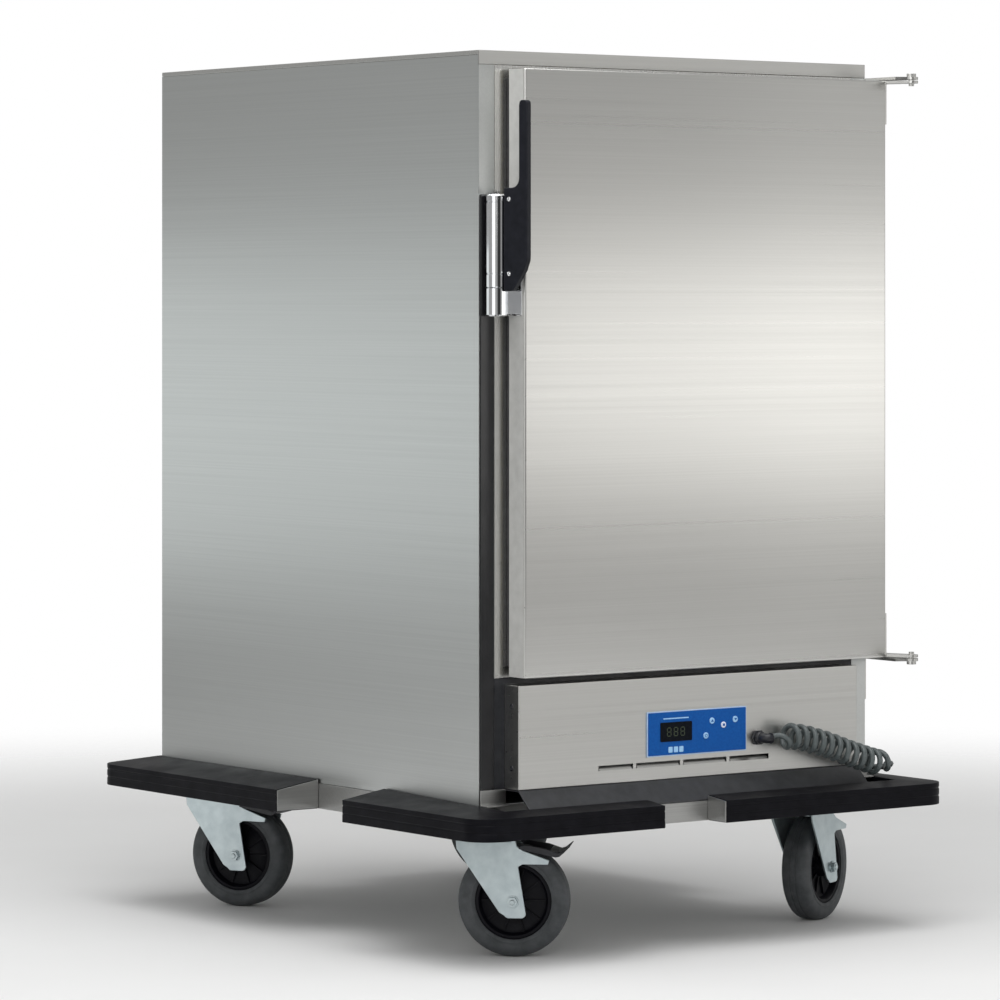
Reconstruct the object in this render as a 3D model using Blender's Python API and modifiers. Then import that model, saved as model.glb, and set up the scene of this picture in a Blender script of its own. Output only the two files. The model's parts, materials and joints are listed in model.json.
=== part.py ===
"""Insulated, heated banquet cabinet on castors, modelled as separate sub-parts.

Metres, +Z up, the front faces -Y. The origin is on the floor, under the middle of the bumper ring.
"""
import bpy
import bmesh
from math import cos, sin, pi, radians
from mathutils import Matrix, Vector

# ---- driving dimensions (metres) -------------------------------------------------------------
CLEAR = 0.0003                  # gap between touching sub-parts
SHEET = 0.0015                  # steel sheet

CAB_HALF_W = 0.3600             # cabinet body
CAB_FRONT = -0.3975
CAB_BACK = 0.4365
CAB_BOTTOM = 0.2225
CAB_TOP = 1.2914
RAIL_H = 0.0200                 # front flange of the top panel
LID_H = 0.0064                  # side and back flanges of the top panel
STILE_W = 0.0270                # front flange of a side panel

RING_HALF_W = 0.4360            # outer faces of the bumpers
RING_HALF_D = 0.5040
BUMPER_BOTTOM = 0.1848
BUMPER_EDGE = 0.2170            # top of the outer face
BUMPER_TOP = 0.2290             # top against the cabinet
BUMPER_CORNER_R = 0.0400
BUMPER_INNER_R = 0.0050         # corner radius of the ring's top, against the cabinet

CHASSIS_HALF_W = 0.3620
CHASSIS_FRONT = -0.4620
CHASSIS_BACK = 0.4430
CHASSIS_BOTTOM = 0.1850
CHASSIS_LOW_TOP = 0.2135        # the front member, ahead of the cabinet
CHASSIS_TOP = 0.2220
CHASSIS_TUBE = 0.0400
CHASSIS_WALL = 0.0030           # the members are channels, open downwards
CASTOR_MEMBER_HALF = 0.0450     # half the width of a cross member over the castors
PAD_HALF_X = 0.0525
PAD_HALF_Y = 0.0425

OPEN_HALF_W = 0.2960            # door opening in the frame
OPEN_LOW = 0.4340
OPEN_HIGH = 1.2370
FRAME_DEPTH = 0.0100
FRAME_SPLIT = 0.4020            # the door frame stands on the bay frame here
BAY_HALF_W = 0.3000             # opening for the heating unit, under the door
BAY_LOW = 0.2490
BAY_HIGH = 0.3900

LINER_BACK = 0.3760
LINER_SHEET = 0.0012
FOAM_BOTTOM = 0.4000
FOAM_GAP = 0.0005

UNIT_HALF_W = 0.3147            # proud front of the heating and control unit
UNIT_FRONT = -0.4317
UNIT_LOW = 0.2450
UNIT_HIGH = 0.3930

DOOR_LEFT = -0.3143
DOOR_RIGHT = 0.3600
DOOR_LOW = 0.4035
DOOR_HIGH = 1.2655
DOOR_FRONT = -0.4453
DOOR_SHELL = 0.0380
GASKET_HALF_W = 0.3115
GASKET_LOW = 0.4180
GASKET_HIGH = 1.2530
GASKET_W = 0.0120

PIVOT_X = 0.3870                # door hinge axis
PIVOT_Y = -0.4720
PIN_R = 0.0040
EYE_R = 0.0042

LATCH_X = -0.3422               # latch barrel axis
LATCH_Y = -0.4165
LATCH_R = 0.0155
LATCH_LOW = 0.9152
LATCH_SEAM = 0.9555
LATCH_HIGH = 1.0872
LEVER_ANGLE = radians(-75)

SWIVEL_X = 0.2970               # castors
SWIVEL_FRONT = -0.3275
SWIVEL_BACK = 0.3725
WHEEL_R = 0.0800
WHEEL_HALF_W = 0.0220
RIM_R = 0.0550
TRAIL = 0.0420
FORK_IN = 0.0265                # half the gap between the fork legs
FORK_SHEET = 0.0035
CROWN_Z = 0.1640
PAD_BOTTOM = 0.1805
PEDAL_X = 0.0560                # pedal pivot, from the swivel axis
PEDAL_Z = 0.1515
RACE_R = 0.0360
AXLE_R = 0.0060

RACK_LEVELS = 10
RACK_PITCH = 0.0750
RACK_FIRST = 0.4750
RACK_FRONT = -0.3300            # ends of the ledges
RACK_BACK = 0.3500
POST_IN = 0.2740                # inner faces of the posts and of the ledges
LEDGE_IN = 0.2520
POST_DEPTH = 0.0200
POST_FRONTS = (-0.2700, 0.2700)

CORD_R = 0.0042
COIL_R = 0.0200

FAN_X = 0.1500
FAN_Y = -0.0600
FAN_BLADES = 8
ELEMENT_R = 0.0042
ELEMENT_BEND = 0.0300

HANDLE_HALF = 0.2400            # rear push handle
HANDLE_REACH = 0.0500
HANDLE_BEND = 0.0300
HANDLE_Z = 1.0200

# castor name, swivel x, swivel y, direction in which the wheel trails, has a brake
CASTORS = (
    ("front_left", -SWIVEL_X, SWIVEL_FRONT, radians(-42), True),
    ("rear_left", -SWIVEL_X, SWIVEL_BACK, radians(-58.5), True),
    ("front_right", SWIVEL_X, SWIVEL_FRONT, radians(25), False),
    ("rear_right", SWIVEL_X, SWIVEL_BACK, radians(143.5), False),
)

# corner bumper name, side signs, length along x, length along y
BUMPERS = (
    ("front_left", -1, -1, 0.3280, 0.3360),
    ("front_right", 1, -1, 0.4310, 0.3360),
    ("rear_left", -1, 1, 0.3280, 0.5010),
    ("rear_right", 1, 1, 0.4310, 0.5010),
)

KEYS = (
    ("key_up", 0.0340, 0.3255),
    ("key_down", 0.0775, 0.3255),
    ("key_set", 0.0555, 0.3185),
    ("key_power", 0.0225, 0.3045),
)
KEY_R = 0.0046
GLAND_X = 0.1212
GLAND_Z = 0.2960
PLUG_X = 0.3970
PLUG_Z = 0.2430

for old in list(bpy.data.objects):
    bpy.data.objects.remove(old, do_unlink=True)

ON_EDGE = Matrix(((1, 0, 0, 0), (0, 0, -1, 0), (0, 1, 0, 0), (0, 0, 0, 1)))     # an outline's y becomes z
END_ON = Matrix(((0, 0, 1, 0), (1, 0, 0, 0), (0, 1, 0, 0), (0, 0, 0, 1)))       # its x, y become y, z

PARTS = bpy.data.collections.new("food_carrier")
TOOLS = bpy.data.collections.new("cutters")
bpy.context.scene.collection.children.link(PARTS)
bpy.context.scene.collection.children.link(TOOLS)


# ---- materials -------------------------------------------------------------------------------
def material(name, colour, roughness, metallic):
    mat = bpy.data.materials.new(name)
    mat.use_nodes = True
    shader = mat.node_tree.nodes["Principled BSDF"]
    shader.inputs["Base Color"].default_value = (*colour, 1.0)
    shader.inputs["Roughness"].default_value = roughness
    shader.inputs["Metallic"].default_value = metallic
    return mat


STEEL = material("brushed_steel", (0.50, 0.50, 0.48), 0.35, 1.0)
LINER_STEEL = material("liner_steel", (0.55, 0.55, 0.54), 0.30, 1.0)
CHROME = material("chrome", (0.80, 0.81, 0.82), 0.08, 1.0)
ZINC = material("zinc_plate", (0.42, 0.49, 0.50), 0.35, 1.0)
BLACK = material("black_plastic", (0.012, 0.012, 0.015), 0.40, 0.0)
BUMPER_BLACK = material("bumper_rubber", (0.010, 0.010, 0.013), 0.55, 0.0)
TYRE = material("tyre_grey", (0.055, 0.060, 0.065), 0.65, 0.0)
RIM = material("rim_black", (0.004, 0.004, 0.005), 0.45, 0.0)
FOAM = material("foam", (0.60, 0.52, 0.30), 0.90, 0.0)
SEAL = material("seal_rubber", (0.03, 0.03, 0.03), 0.60, 0.0)
BLUE = material("panel_blue", (0.010, 0.095, 0.380), 0.35, 0.0)
GLASS = material("display_glass", (0.004, 0.005, 0.010), 0.10, 0.0)
KEY_BLUE = material("key_light_blue", (0.25, 0.50, 0.85), 0.40, 0.0)
CORD = material("cord_grey", (0.16, 0.18, 0.18), 0.50, 0.0)


# ---- helpers ---------------------------------------------------------------------------------
def add(name, mesh, mat=None, tool=False):
    obj = bpy.data.objects.new(name, mesh)
    (TOOLS if tool else PARTS).objects.link(obj)
    if mat is not None:
        mesh.materials.append(mat)
    if tool:
        obj.hide_render = True
        obj.display_type = "WIRE"
    return obj


def box_mesh(name, boxes):
    """One mesh of closed boxes, each given by its low and high corner."""
    bm = bmesh.new()
    for low, high in boxes:
        size = [h - l for l, h in zip(low, high)]
        mid = [(h + l) / 2 for l, h in zip(low, high)]
        place = Matrix.Translation(mid) @ Matrix.Diagonal((*size, 1.0))
        bmesh.ops.create_cube(bm, size=1.0, matrix=place)
    mesh = bpy.data.meshes.new(name)
    bm.to_mesh(mesh)
    bm.free()
    return mesh


def box(name, low, high, mat=None, tool=False):
    return add(name, box_mesh(name, [(low, high)]), mat, tool)


def boxes_tool(name, boxes):
    return add(name, box_mesh(name, boxes), None, True)


def cylinder_mesh(name, radius, low, high, sides=32, top_radius=None):
    """A cylinder or cone between two points."""
    low, high = Vector(low), Vector(high)
    along = high - low
    turn = along.to_track_quat("Z", "Y").to_matrix().to_4x4()
    bm = bmesh.new()
    bmesh.ops.create_cone(
        bm, cap_ends=True, segments=sides, radius1=radius,
        radius2=radius if top_radius is None else top_radius, depth=along.length,
        matrix=Matrix.Translation((low + high) / 2) @ turn)
    mesh = bpy.data.meshes.new(name)
    bm.to_mesh(mesh)
    bm.free()
    return mesh


def cylinder(name, radius, low, high, mat=None, tool=False, sides=32, top_radius=None):
    return add(name, cylinder_mesh(name, radius, low, high, sides, top_radius), mat, tool)


def plate_mesh(name, outline, thickness, matrix):
    """A flat outline of 2D points, extruded to a thickness, as a closed mesh."""
    curve = bpy.data.curves.new(name, "CURVE")
    curve.dimensions = "2D"
    curve.fill_mode = "BOTH"
    curve.extrude = thickness / 2
    spline = curve.splines.new("POLY")
    spline.points.add(len(outline) - 1)
    for point, (x, y) in zip(spline.points, outline):
        point.co = (x, y, 0.0, 1.0)
    spline.use_cyclic_u = True
    holder = bpy.data.objects.new(name, curve)
    TOOLS.objects.link(holder)
    bpy.context.view_layer.update()
    graph = bpy.context.evaluated_depsgraph_get()
    mesh = bpy.data.meshes.new_from_object(holder.evaluated_get(graph))
    bpy.data.objects.remove(holder, do_unlink=True)
    bm = bmesh.new()
    bm.from_mesh(mesh)
    bmesh.ops.remove_doubles(bm, verts=bm.verts, dist=1e-6)
    bmesh.ops.transform(bm, matrix=matrix, verts=bm.verts)
    bmesh.ops.recalc_face_normals(bm, faces=bm.faces)
    bm.to_mesh(mesh)
    bm.free()
    return mesh


def plate(name, outline, thickness, matrix, mat=None, tool=False):
    return add(name, plate_mesh(name, outline, thickness, matrix), mat, tool)


def lathe(name, profile, axis_point, axis, mat, steps=40, closed=False):
    """A turned solid. The profile is (radius, distance along the axis), outer side going down."""
    mesh = bpy.data.meshes.new(name)
    bm = bmesh.new()
    points = [bm.verts.new((r, 0.0, h)) for r, h in profile]
    for first, second in zip(points, points[1:]):
        bm.edges.new((first, second))
    if closed:
        bm.edges.new((points[-1], points[0]))
    bm.to_mesh(mesh)
    bm.free()
    obj = add(name, mesh, mat)
    turn = Vector(axis).to_track_quat("Z", "Y").to_matrix().to_4x4()
    obj.matrix_world = Matrix.Translation(axis_point) @ turn
    screw = obj.modifiers.new("turn", "SCREW")
    screw.steps = steps
    screw.render_steps = steps
    screw.use_merge_vertices = True
    screw.merge_threshold = 0.00001
    return obj


def boolean(obj, other, operation, self_cut=False):
    step = obj.modifiers.new(operation.lower(), "BOOLEAN")
    step.operation = operation
    step.solver = "EXACT"
    step.use_self = self_cut
    step.object = other
    other.hide_render = True
    other.display_type = "WIRE"


def cut(obj, other, self_cut=False):
    boolean(obj, other, "DIFFERENCE", self_cut)


def join(obj, other, self_cut=False):
    boolean(obj, other, "UNION", self_cut)


def bevel(obj, width, segments=2, angle=40):
    step = obj.modifiers.new("rounded_edges", "BEVEL")
    step.width = width
    step.segments = segments
    step.limit_method = "ANGLE"
    step.angle_limit = radians(angle)
    step.use_clamp_overlap = True


def smooth(obj, angle=35):
    obj.data.shade_smooth()
    obj.data.set_sharp_from_angle(angle=radians(angle))


def arc(cx, cy, radius, start, end, count):
    """Points on an arc, angles in degrees."""
    step = (end - start) / (count - 1)
    return [(cx + radius * cos(radians(start + step * i)),
             cy + radius * sin(radians(start + step * i))) for i in range(count)]


def tube(name, path, radius, resolution, mat):
    curve = bpy.data.curves.new(name, "CURVE")
    curve.dimensions = "3D"
    curve.bevel_depth = radius
    curve.bevel_resolution = resolution
    curve.use_fill_caps = True
    spline = curve.splines.new("POLY")
    spline.points.add(len(path) - 1)
    for point, place in zip(spline.points, path):
        point.co = (*place, 1.0)
    curve.materials.append(mat)
    obj = bpy.data.objects.new(name, curve)
    PARTS.objects.link(obj)
    return obj


# ---- cabinet body ----------------------------------------------------------------------------
def side_panel(name, sign):
    """A sheet with a front flange that makes the stile."""
    outer = sign * CAB_HALF_W
    inner = sign * (CAB_HALF_W - SHEET)
    stile = sign * (CAB_HALF_W - STILE_W)
    high = CAB_TOP - LID_H - CLEAR
    stile_high = CAB_TOP - RAIL_H - CLEAR
    panel = box(name, (min(outer, inner), CAB_FRONT, CAB_BOTTOM),
                (max(outer, inner), CAB_BACK, high), STEEL)
    notch = box(name + "_rail_notch", (-1, CAB_FRONT - 0.01, stile_high),
                (1, CAB_FRONT + SHEET + CLEAR, 2), None, True)
    cut(panel, notch)
    flange = box(name + "_stile", (min(outer, stile), CAB_FRONT, CAB_BOTTOM),
                 (max(outer, stile), CAB_FRONT + SHEET, stile_high), None, True)
    join(panel, flange)


def back_panel():
    half = CAB_HALF_W - SHEET - CLEAR
    high = CAB_TOP - LID_H - CLEAR
    box("back_panel", (-half, CAB_BACK - SHEET, CAB_BOTTOM), (half, CAB_BACK, high), STEEL)


def top_panel():
    """The lid: a sheet with a deep front flange and short side and back flanges."""
    lid = box("top_panel", (-CAB_HALF_W, CAB_FRONT, CAB_TOP - RAIL_H),
              (CAB_HALF_W, CAB_BACK, CAB_TOP), STEEL)
    hollow = boxes_tool("top_panel_hollow", [(
        (-CAB_HALF_W + SHEET, CAB_FRONT + SHEET, CAB_TOP - RAIL_H - 0.01),
        (CAB_HALF_W - SHEET, CAB_BACK - SHEET, CAB_TOP - SHEET))])
    cut(lid, hollow)
    short = boxes_tool("top_panel_short_flanges", [(
        (-1, CAB_FRONT + SHEET, CAB_TOP - RAIL_H - 0.02), (1, 1, CAB_TOP - LID_H))])
    cut(lid, short)


def floor_panel():
    half = CAB_HALF_W - SHEET - CLEAR
    box("floor_panel", (-half, CAB_FRONT + SHEET + CLEAR, CAB_BOTTOM),
        (half, CAB_BACK - SHEET - CLEAR, CAB_BOTTOM + SHEET), STEEL)


def front_frame(name, low, high, open_half, open_low, open_high, mat):
    """A flat ring between the stiles."""
    half = CAB_HALF_W - STILE_W - CLEAR
    frame = box(name, (-half, CAB_FRONT, low), (half, CAB_FRONT + FRAME_DEPTH, high), mat)
    cut(frame, boxes_tool(name + "_opening", [((-open_half, -1, open_low), (open_half, 1, open_high))]))


def inner_liner():
    front = CAB_FRONT + FRAME_DEPTH + CLEAR
    liner = box("inner_liner", (-OPEN_HALF_W, front, OPEN_LOW),
                (OPEN_HALF_W, LINER_BACK, OPEN_HIGH), LINER_STEEL)
    hollow = boxes_tool("inner_liner_cavity", [(
        (-OPEN_HALF_W + LINER_SHEET, -1, OPEN_LOW + LINER_SHEET),
        (OPEN_HALF_W - LINER_SHEET, LINER_BACK - LINER_SHEET, OPEN_HIGH - LINER_SHEET))])
    cut(liner, hollow)


def insulation():
    """Foam round the liner's sides, back, top and floor."""
    front = CAB_FRONT + FRAME_DEPTH + FOAM_GAP
    half = CAB_HALF_W - SHEET - FOAM_GAP
    foam = box("insulation", (-half, front, FOAM_BOTTOM),
               (half, CAB_BACK - SHEET - FOAM_GAP, CAB_TOP - LID_H), FOAM)
    hollow = boxes_tool("insulation_cavity", [(
        (-OPEN_HALF_W - FOAM_GAP, -1, OPEN_LOW - FOAM_GAP),
        (OPEN_HALF_W + FOAM_GAP, LINER_BACK + FOAM_GAP, OPEN_HIGH + FOAM_GAP))])
    cut(foam, hollow)


def pan_rack(name, sign):
    """Two posts with ledges for ten levels."""
    wall = OPEN_HALF_W - LINER_SHEET - CLEAR
    lap, sheet, upstand = 0.0010, 0.0020, 0.0180

    def side(near, far, y0, y1, z0, z1):
        xs = sorted((sign * near, sign * far))
        return (xs[0], y0, z0), (xs[1], y1, z1)

    low = OPEN_LOW + LINER_SHEET + CLEAR
    high = OPEN_HIGH - LINER_SHEET - 2 * lap
    posts = [side(wall, POST_IN, y, y + POST_DEPTH, low, high) for y in POST_FRONTS]
    rack = add(name, box_mesh(name, posts), LINER_STEEL)
    levels = [RACK_FIRST + level * RACK_PITCH for level in range(RACK_LEVELS)]
    ledges = [side(POST_IN + lap, LEDGE_IN, RACK_FRONT, RACK_BACK, z, z + sheet) for z in levels]
    join(rack, boxes_tool(name + "_ledges", ledges))
    upstands = [side(POST_IN + lap, POST_IN - lap, RACK_FRONT, RACK_BACK, z, z + upstand) for z in levels]
    join(rack, boxes_tool(name + "_upstands", upstands))


# ---- chassis ---------------------------------------------------------------------------------
def chassis_frame():
    """Welded ring of channel with two cross members and four castor pads."""
    inner_w = CHASSIS_HALF_W - CHASSIS_TUBE
    wall = CHASSIS_WALL
    step_y = CAB_FRONT - 0.0010
    frame = box("chassis_frame", (-CHASSIS_HALF_W, CHASSIS_FRONT, CHASSIS_BOTTOM),
                (CHASSIS_HALF_W, CHASSIS_BACK, CHASSIS_TOP), STEEL)
    member_low = SWIVEL_FRONT - CASTOR_MEMBER_HALF
    member_high = SWIVEL_FRONT + CASTOR_MEMBER_HALF
    rear_low = SWIVEL_BACK - CASTOR_MEMBER_HALF
    front_inner = CHASSIS_FRONT + CHASSIS_TUBE
    cut(frame, boxes_tool("chassis_gaps", [
        ((-inner_w, front_inner, 0), (inner_w, member_low, 1)),
        ((-inner_w, member_high, 0), (inner_w, rear_low, 1))]))
    cut(frame, boxes_tool("chassis_front_step", [((-1, -1, CHASSIS_LOW_TOP), (1, step_y, 1))]))
    rail_in, rail_out, deep = inner_w + wall, CHASSIS_HALF_W - wall, CHASSIS_TOP - wall
    cut(frame, boxes_tool("chassis_channels", [
        ((-rail_out, CHASSIS_FRONT + wall, 0), (rail_out, front_inner - wall, CHASSIS_LOW_TOP - wall)),
        ((-rail_out, step_y + wall, 0), (-rail_in, CHASSIS_BACK - wall, deep)),
        ((rail_in, step_y + wall, 0), (rail_out, CHASSIS_BACK - wall, deep)),
        ((-inner_w + wall, member_low + wall, 0), (inner_w - wall, member_high - wall, deep)),
        ((-inner_w + wall, rear_low + wall, 0), (inner_w - wall, CHASSIS_BACK - wall, deep))]))
    pads = [((x - PAD_HALF_X, y - PAD_HALF_Y, PAD_BOTTOM),
             (x + PAD_HALF_X, y + PAD_HALF_Y, CHASSIS_BOTTOM + wall)) for _, x, y, _, _ in CASTORS]
    join(frame, boxes_tool("castor_pads", pads))


def front_apron():
    """Folded sheet that slopes from under the heating unit to the chassis."""
    y_back, y_top, y_foot = CAB_FRONT - 0.0010, UNIT_FRONT + 0.0005, CHASSIS_FRONT + 0.0005
    z_top, z_foot = UNIT_LOW - CLEAR, CHASSIS_LOW_TOP + CLEAR
    sheet = 0.0020
    outline = [(y_back, z_top), (y_top, z_top), (y_foot, z_foot + sheet), (y_foot, z_foot),
               (y_foot + sheet, z_foot), (y_top + 0.0010, z_top - sheet), (y_back, z_top - sheet)]
    plate("front_apron", outline, 2 * UNIT_HALF_W, END_ON, BLACK)


def ring_outline(half_x, low_y, high_y, radius, count=5):
    """A rectangle with rounded corners."""
    points = []
    corners = ((half_x, high_y, 0), (-half_x, high_y, 90), (-half_x, low_y, 180), (half_x, low_y, 270))
    for x, y, start in corners:
        cx = x - radius if x > 0 else x + radius
        cy = y - radius if start in (0, 90) else y + radius
        points += arc(cx, cy, radius, start, start + 90, count)
    return points


def bumper_blank(name):
    """The whole ring as one convex solid: upright outer face, sloped top."""
    levels = [
        (BUMPER_BOTTOM, ring_outline(RING_HALF_W, -RING_HALF_D, RING_HALF_D, BUMPER_CORNER_R)),
        (BUMPER_EDGE, ring_outline(RING_HALF_W, -RING_HALF_D, RING_HALF_D, BUMPER_CORNER_R)),
        (BUMPER_TOP, ring_outline(CAB_HALF_W, CAB_FRONT, CAB_BACK, BUMPER_INNER_R)),
    ]
    bm = bmesh.new()
    rings = [[bm.verts.new((x, y, z)) for x, y in outline] for z, outline in levels]
    count = len(rings[0])
    for lower, upper in zip(rings, rings[1:]):
        for i in range(count):
            j = (i + 1) % count
            bm.faces.new((lower[i], lower[j], upper[j], upper[i]))
    bm.faces.new(list(reversed(rings[0])))
    bm.faces.new(rings[-1])
    mesh = bpy.data.meshes.new(name)
    bm.to_mesh(mesh)
    bm.free()
    return mesh


def corner_bumpers():
    """Four L-shaped stretches of the ring, outside the chassis."""
    for name, sx, sy, length_x, length_y in BUMPERS:
        bumper = add("bumper_" + name, bumper_blank("bumper_" + name), BUMPER_BLACK)
        far_x, far_y = sx * 0.6, sy * 0.7
        edge_x = sx * (RING_HALF_W - length_x)
        edge_y = sy * (RING_HALF_D - length_y)
        wall_x = sx * (CHASSIS_HALF_W + CLEAR)
        wall_y = CHASSIS_FRONT - CLEAR if sy < 0 else CHASSIS_BACK + CLEAR
        outline = [(far_x, far_y), (far_x, edge_y), (wall_x, edge_y), (wall_x, wall_y),
                   (edge_x, wall_y), (edge_x, far_y)]
        around = Matrix.Translation((0, 0, BUMPER_BOTTOM))
        keep = plate("bumper_outline_" + name, outline, 0.2, around, None, True)
        bevel(bumper, 0.0030, 1, 50)
        boolean(bumper, keep, "INTERSECT")


def castor(name, x, y, heading, braked):
    """A swivel castor, whose wheel trails in the given direction."""
    frame = Matrix.Translation((x, y, 0)) @ Matrix.Rotation(heading, 4, "Z")
    castor_fork(name, frame)
    castor_wheel(name, frame)
    if braked:
        brake_pedal(name, frame)


def castor_fork(name, frame):
    """Two legs, a crown, the swivel race and the axle, as one welded piece."""
    def at(px, py, pz):
        return frame @ Vector((px, py, pz))

    top, lap = CROWN_Z + 0.0040, 0.0010
    crown_back, crown_front = -0.0475, 0.0460
    foot_z, foot_r = 0.0700, 0.0140
    leg = [(crown_back, top), (crown_back, 0.1590), (0.0240, 0.0620)]
    leg += arc(TRAIL - 0.0040, foot_z, foot_r, 215, 270, 3)
    leg += arc(TRAIL + 0.0060, foot_z, foot_r, 270, 350, 4)
    leg += [(0.0500, 0.1320), (0.0920, 0.1320), (0.0940, 0.1410), (0.0480, 0.1600), (crown_front, top)]
    middle = FORK_IN + FORK_SHEET / 2
    fork = plate("castor_fork_" + name, leg, FORK_SHEET, Matrix.Translation((0, middle, 0)) @ ON_EDGE, ZINC)
    fork.matrix_world = frame
    other = plate("fork_leg_" + name, leg, FORK_SHEET,
                  frame @ Matrix.Translation((0, -middle, 0)) @ ON_EDGE, None, True)
    join(fork, other)
    crown = boxes_tool("fork_crown_" + name, [(
        (crown_back + lap / 2, -FORK_IN - lap, CROWN_Z),
        (crown_front - lap, FORK_IN + lap, CROWN_Z + FORK_SHEET))])
    crown.data.transform(frame)
    join(fork, crown)
    join(fork, cylinder("fork_race_" + name, RACE_R, at(0, 0, CROWN_Z + 2 * lap),
                        at(0, 0, PAD_BOTTOM - 0.0008), None, True, 24))
    axle_half = middle + 0.0060
    join(fork, cylinder("fork_axle_" + name, AXLE_R, at(TRAIL, -axle_half, WHEEL_R),
                        at(TRAIL, axle_half, WHEEL_R), None, True, 16))


def castor_wheel(name, frame):
    """Rim with a hub and a thin web, and the tyre round it."""
    hub = frame @ Vector((TRAIL, 0, WHEEL_R))
    across = frame.to_3x3() @ Vector((0, 1, 0))
    rim_half, hub_half, bore = 0.0170, FORK_IN - 0.0009, AXLE_R + 0.0004
    rim = [(bore, hub_half), (0.0150, hub_half), (0.0170, 0.0080), (0.0430, 0.0060), (0.0490, rim_half),
           (RIM_R - CLEAR, rim_half)]
    rim += [(r, -h) for r, h in reversed(rim)]
    smooth(lathe("castor_rim_" + name, rim, hub, across, RIM, 24, True))
    tyre = [(RIM_R, WHEEL_HALF_W - 0.0020), (0.0600, WHEEL_HALF_W), (0.0710, WHEEL_HALF_W - 0.0005),
            (WHEEL_R - 0.0025, 0.0160), (WHEEL_R, 0.0070)]
    tyre += [(r, -h) for r, h in reversed(tyre)]
    smooth(lathe("castor_tyre_" + name, tyre, hub, across, TYRE, 32, True))


def brake_pedal(name, frame):
    """Two arms outside the fork, joined by a foot plate beyond the wheel."""
    arm_in = FORK_IN + FORK_SHEET + 0.0010
    arm_out, gap_end = arm_in + 0.0030, 0.0960
    side = [(0.0500, 0.1500), (0.0560, 0.1450), (0.0880, 0.1480), (0.1100, 0.1490), (0.1240, 0.1560),
            (0.1225, 0.1580), (0.1000, 0.1570), (0.0540, 0.1580)]
    pedal = plate("brake_pedal_" + name, side, 2 * arm_out,
                  Matrix.Translation((-PEDAL_X, 0, -PEDAL_Z)) @ ON_EDGE, BLACK)
    pedal.matrix_world = frame @ Matrix.Translation((PEDAL_X, 0, PEDAL_Z))
    gap = boxes_tool("pedal_gap_" + name, [((0.0, -arm_in, 0.1), (gap_end, arm_in, 0.2))])
    gap.data.transform(frame)
    cut(pedal, gap)


# ---- heating and control unit ----------------------------------------------------------------
def control_housing():
    """Proud front cover of the unit, open at the back, with a row of vent slots."""
    back = CAB_FRONT - CLEAR
    cover = box("control_housing", (-UNIT_HALF_W, UNIT_FRONT, UNIT_LOW),
                (UNIT_HALF_W, back, UNIT_HIGH), STEEL)
    sheet = 0.0020
    cut(cover, boxes_tool("control_housing_hollow", [(
        (-UNIT_HALF_W + sheet, UNIT_FRONT + sheet, UNIT_LOW + sheet),
        (UNIT_HALF_W - sheet, 1, UNIT_HIGH - sheet))]))
    ends = (-0.1755, -0.1070, -0.0204, 0.0662, 0.1460)
    bridge, slot_low, slot_high = 0.0055, 0.2640, 0.2715
    slots = [((x0 + bridge / 2, -1, slot_low), (x1 - bridge / 2, UNIT_FRONT + 0.01, slot_high))
             for x0, x1 in zip(ends, ends[1:])]
    cut(cover, boxes_tool("control_housing_slots", slots))


def control_panel():
    """Film panel with a display window and four keys."""
    front = UNIT_FRONT - CLEAR - 0.0022
    face = box("control_panel", (-0.0857, front, 0.2785), (0.0996, UNIT_FRONT - CLEAR, 0.3437), BLUE)
    cut(face, boxes_tool("display_hole", [((-0.0624, -1, 0.2990), (-0.0031, 1, 0.3276))]))
    window = box("display_window", (-0.0621, front - 0.0004, 0.2993),
                 (-0.0034, UNIT_FRONT - 2 * CLEAR, 0.3273), GLASS)
    bevel(window, 0.0003, 1)
    for name, x, z in KEYS:
        cut(face, cylinder(name + "_hole", KEY_R + 0.0004, (x, -0.5, z), (x, -0.4, z), None, True, 16))
        key = cylinder(name, KEY_R, (0, 0.0012, 0), (0, -0.0014, 0), KEY_BLUE, False, 16)
        key.location = (x, front + 0.0002, z)
        smooth(key)


def cable_gland():
    """Elbow strain relief that turns the cord to the right."""
    x, z, nose_y = GLAND_X, GLAND_Z, UNIT_FRONT - 0.0220
    gland = cylinder("cable_gland", 0.0110, (x, UNIT_FRONT - CLEAR, z), (x, UNIT_FRONT - 0.0100, z),
                     BLACK, False, 24)
    join(gland, cylinder("gland_elbow", 0.0085, (x, UNIT_FRONT - 0.0080, z), (x, nose_y - 0.0020, z),
                         None, True, 24))
    join(gland, cylinder("gland_nose", 0.0080, (x - 0.0060, nose_y, z), (x + 0.0120, nose_y, z),
                         None, True, 24, 0.0060))


def heater_tray(half, low, high):
    """Sliding tray, open at the top."""
    sheet, back, rim_drop = 0.0015, 0.2000, 0.0400
    front = CAB_FRONT + 0.0010
    tray = box("heater_tray", (-half, front, low), (half, back, high - rim_drop), STEEL)
    cut(tray, boxes_tool("heater_tray_hollow", [(
        (-half + sheet, front + sheet, low + sheet), (half - sheet, back - sheet, 1))]))
    return low + sheet + CLEAR


def heating_element(z):
    """A bar bent into three hairpins."""
    radius, left, right, start = ELEMENT_BEND, -0.2400, -0.0400, -0.1500
    path = [(right, start)]
    for turn in range(3):
        y = start + (2 * turn + 1) * radius
        if turn % 2 == 0:
            path += arc(left, y, radius, 270, 90, 7)
        else:
            path += arc(right, y, radius, -90, 90, 7)
    path.append((right, start + 6 * radius))
    tube("heating_element", [(x, y, z) for x, y in path], ELEMENT_R, 2, LINER_STEEL)


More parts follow.
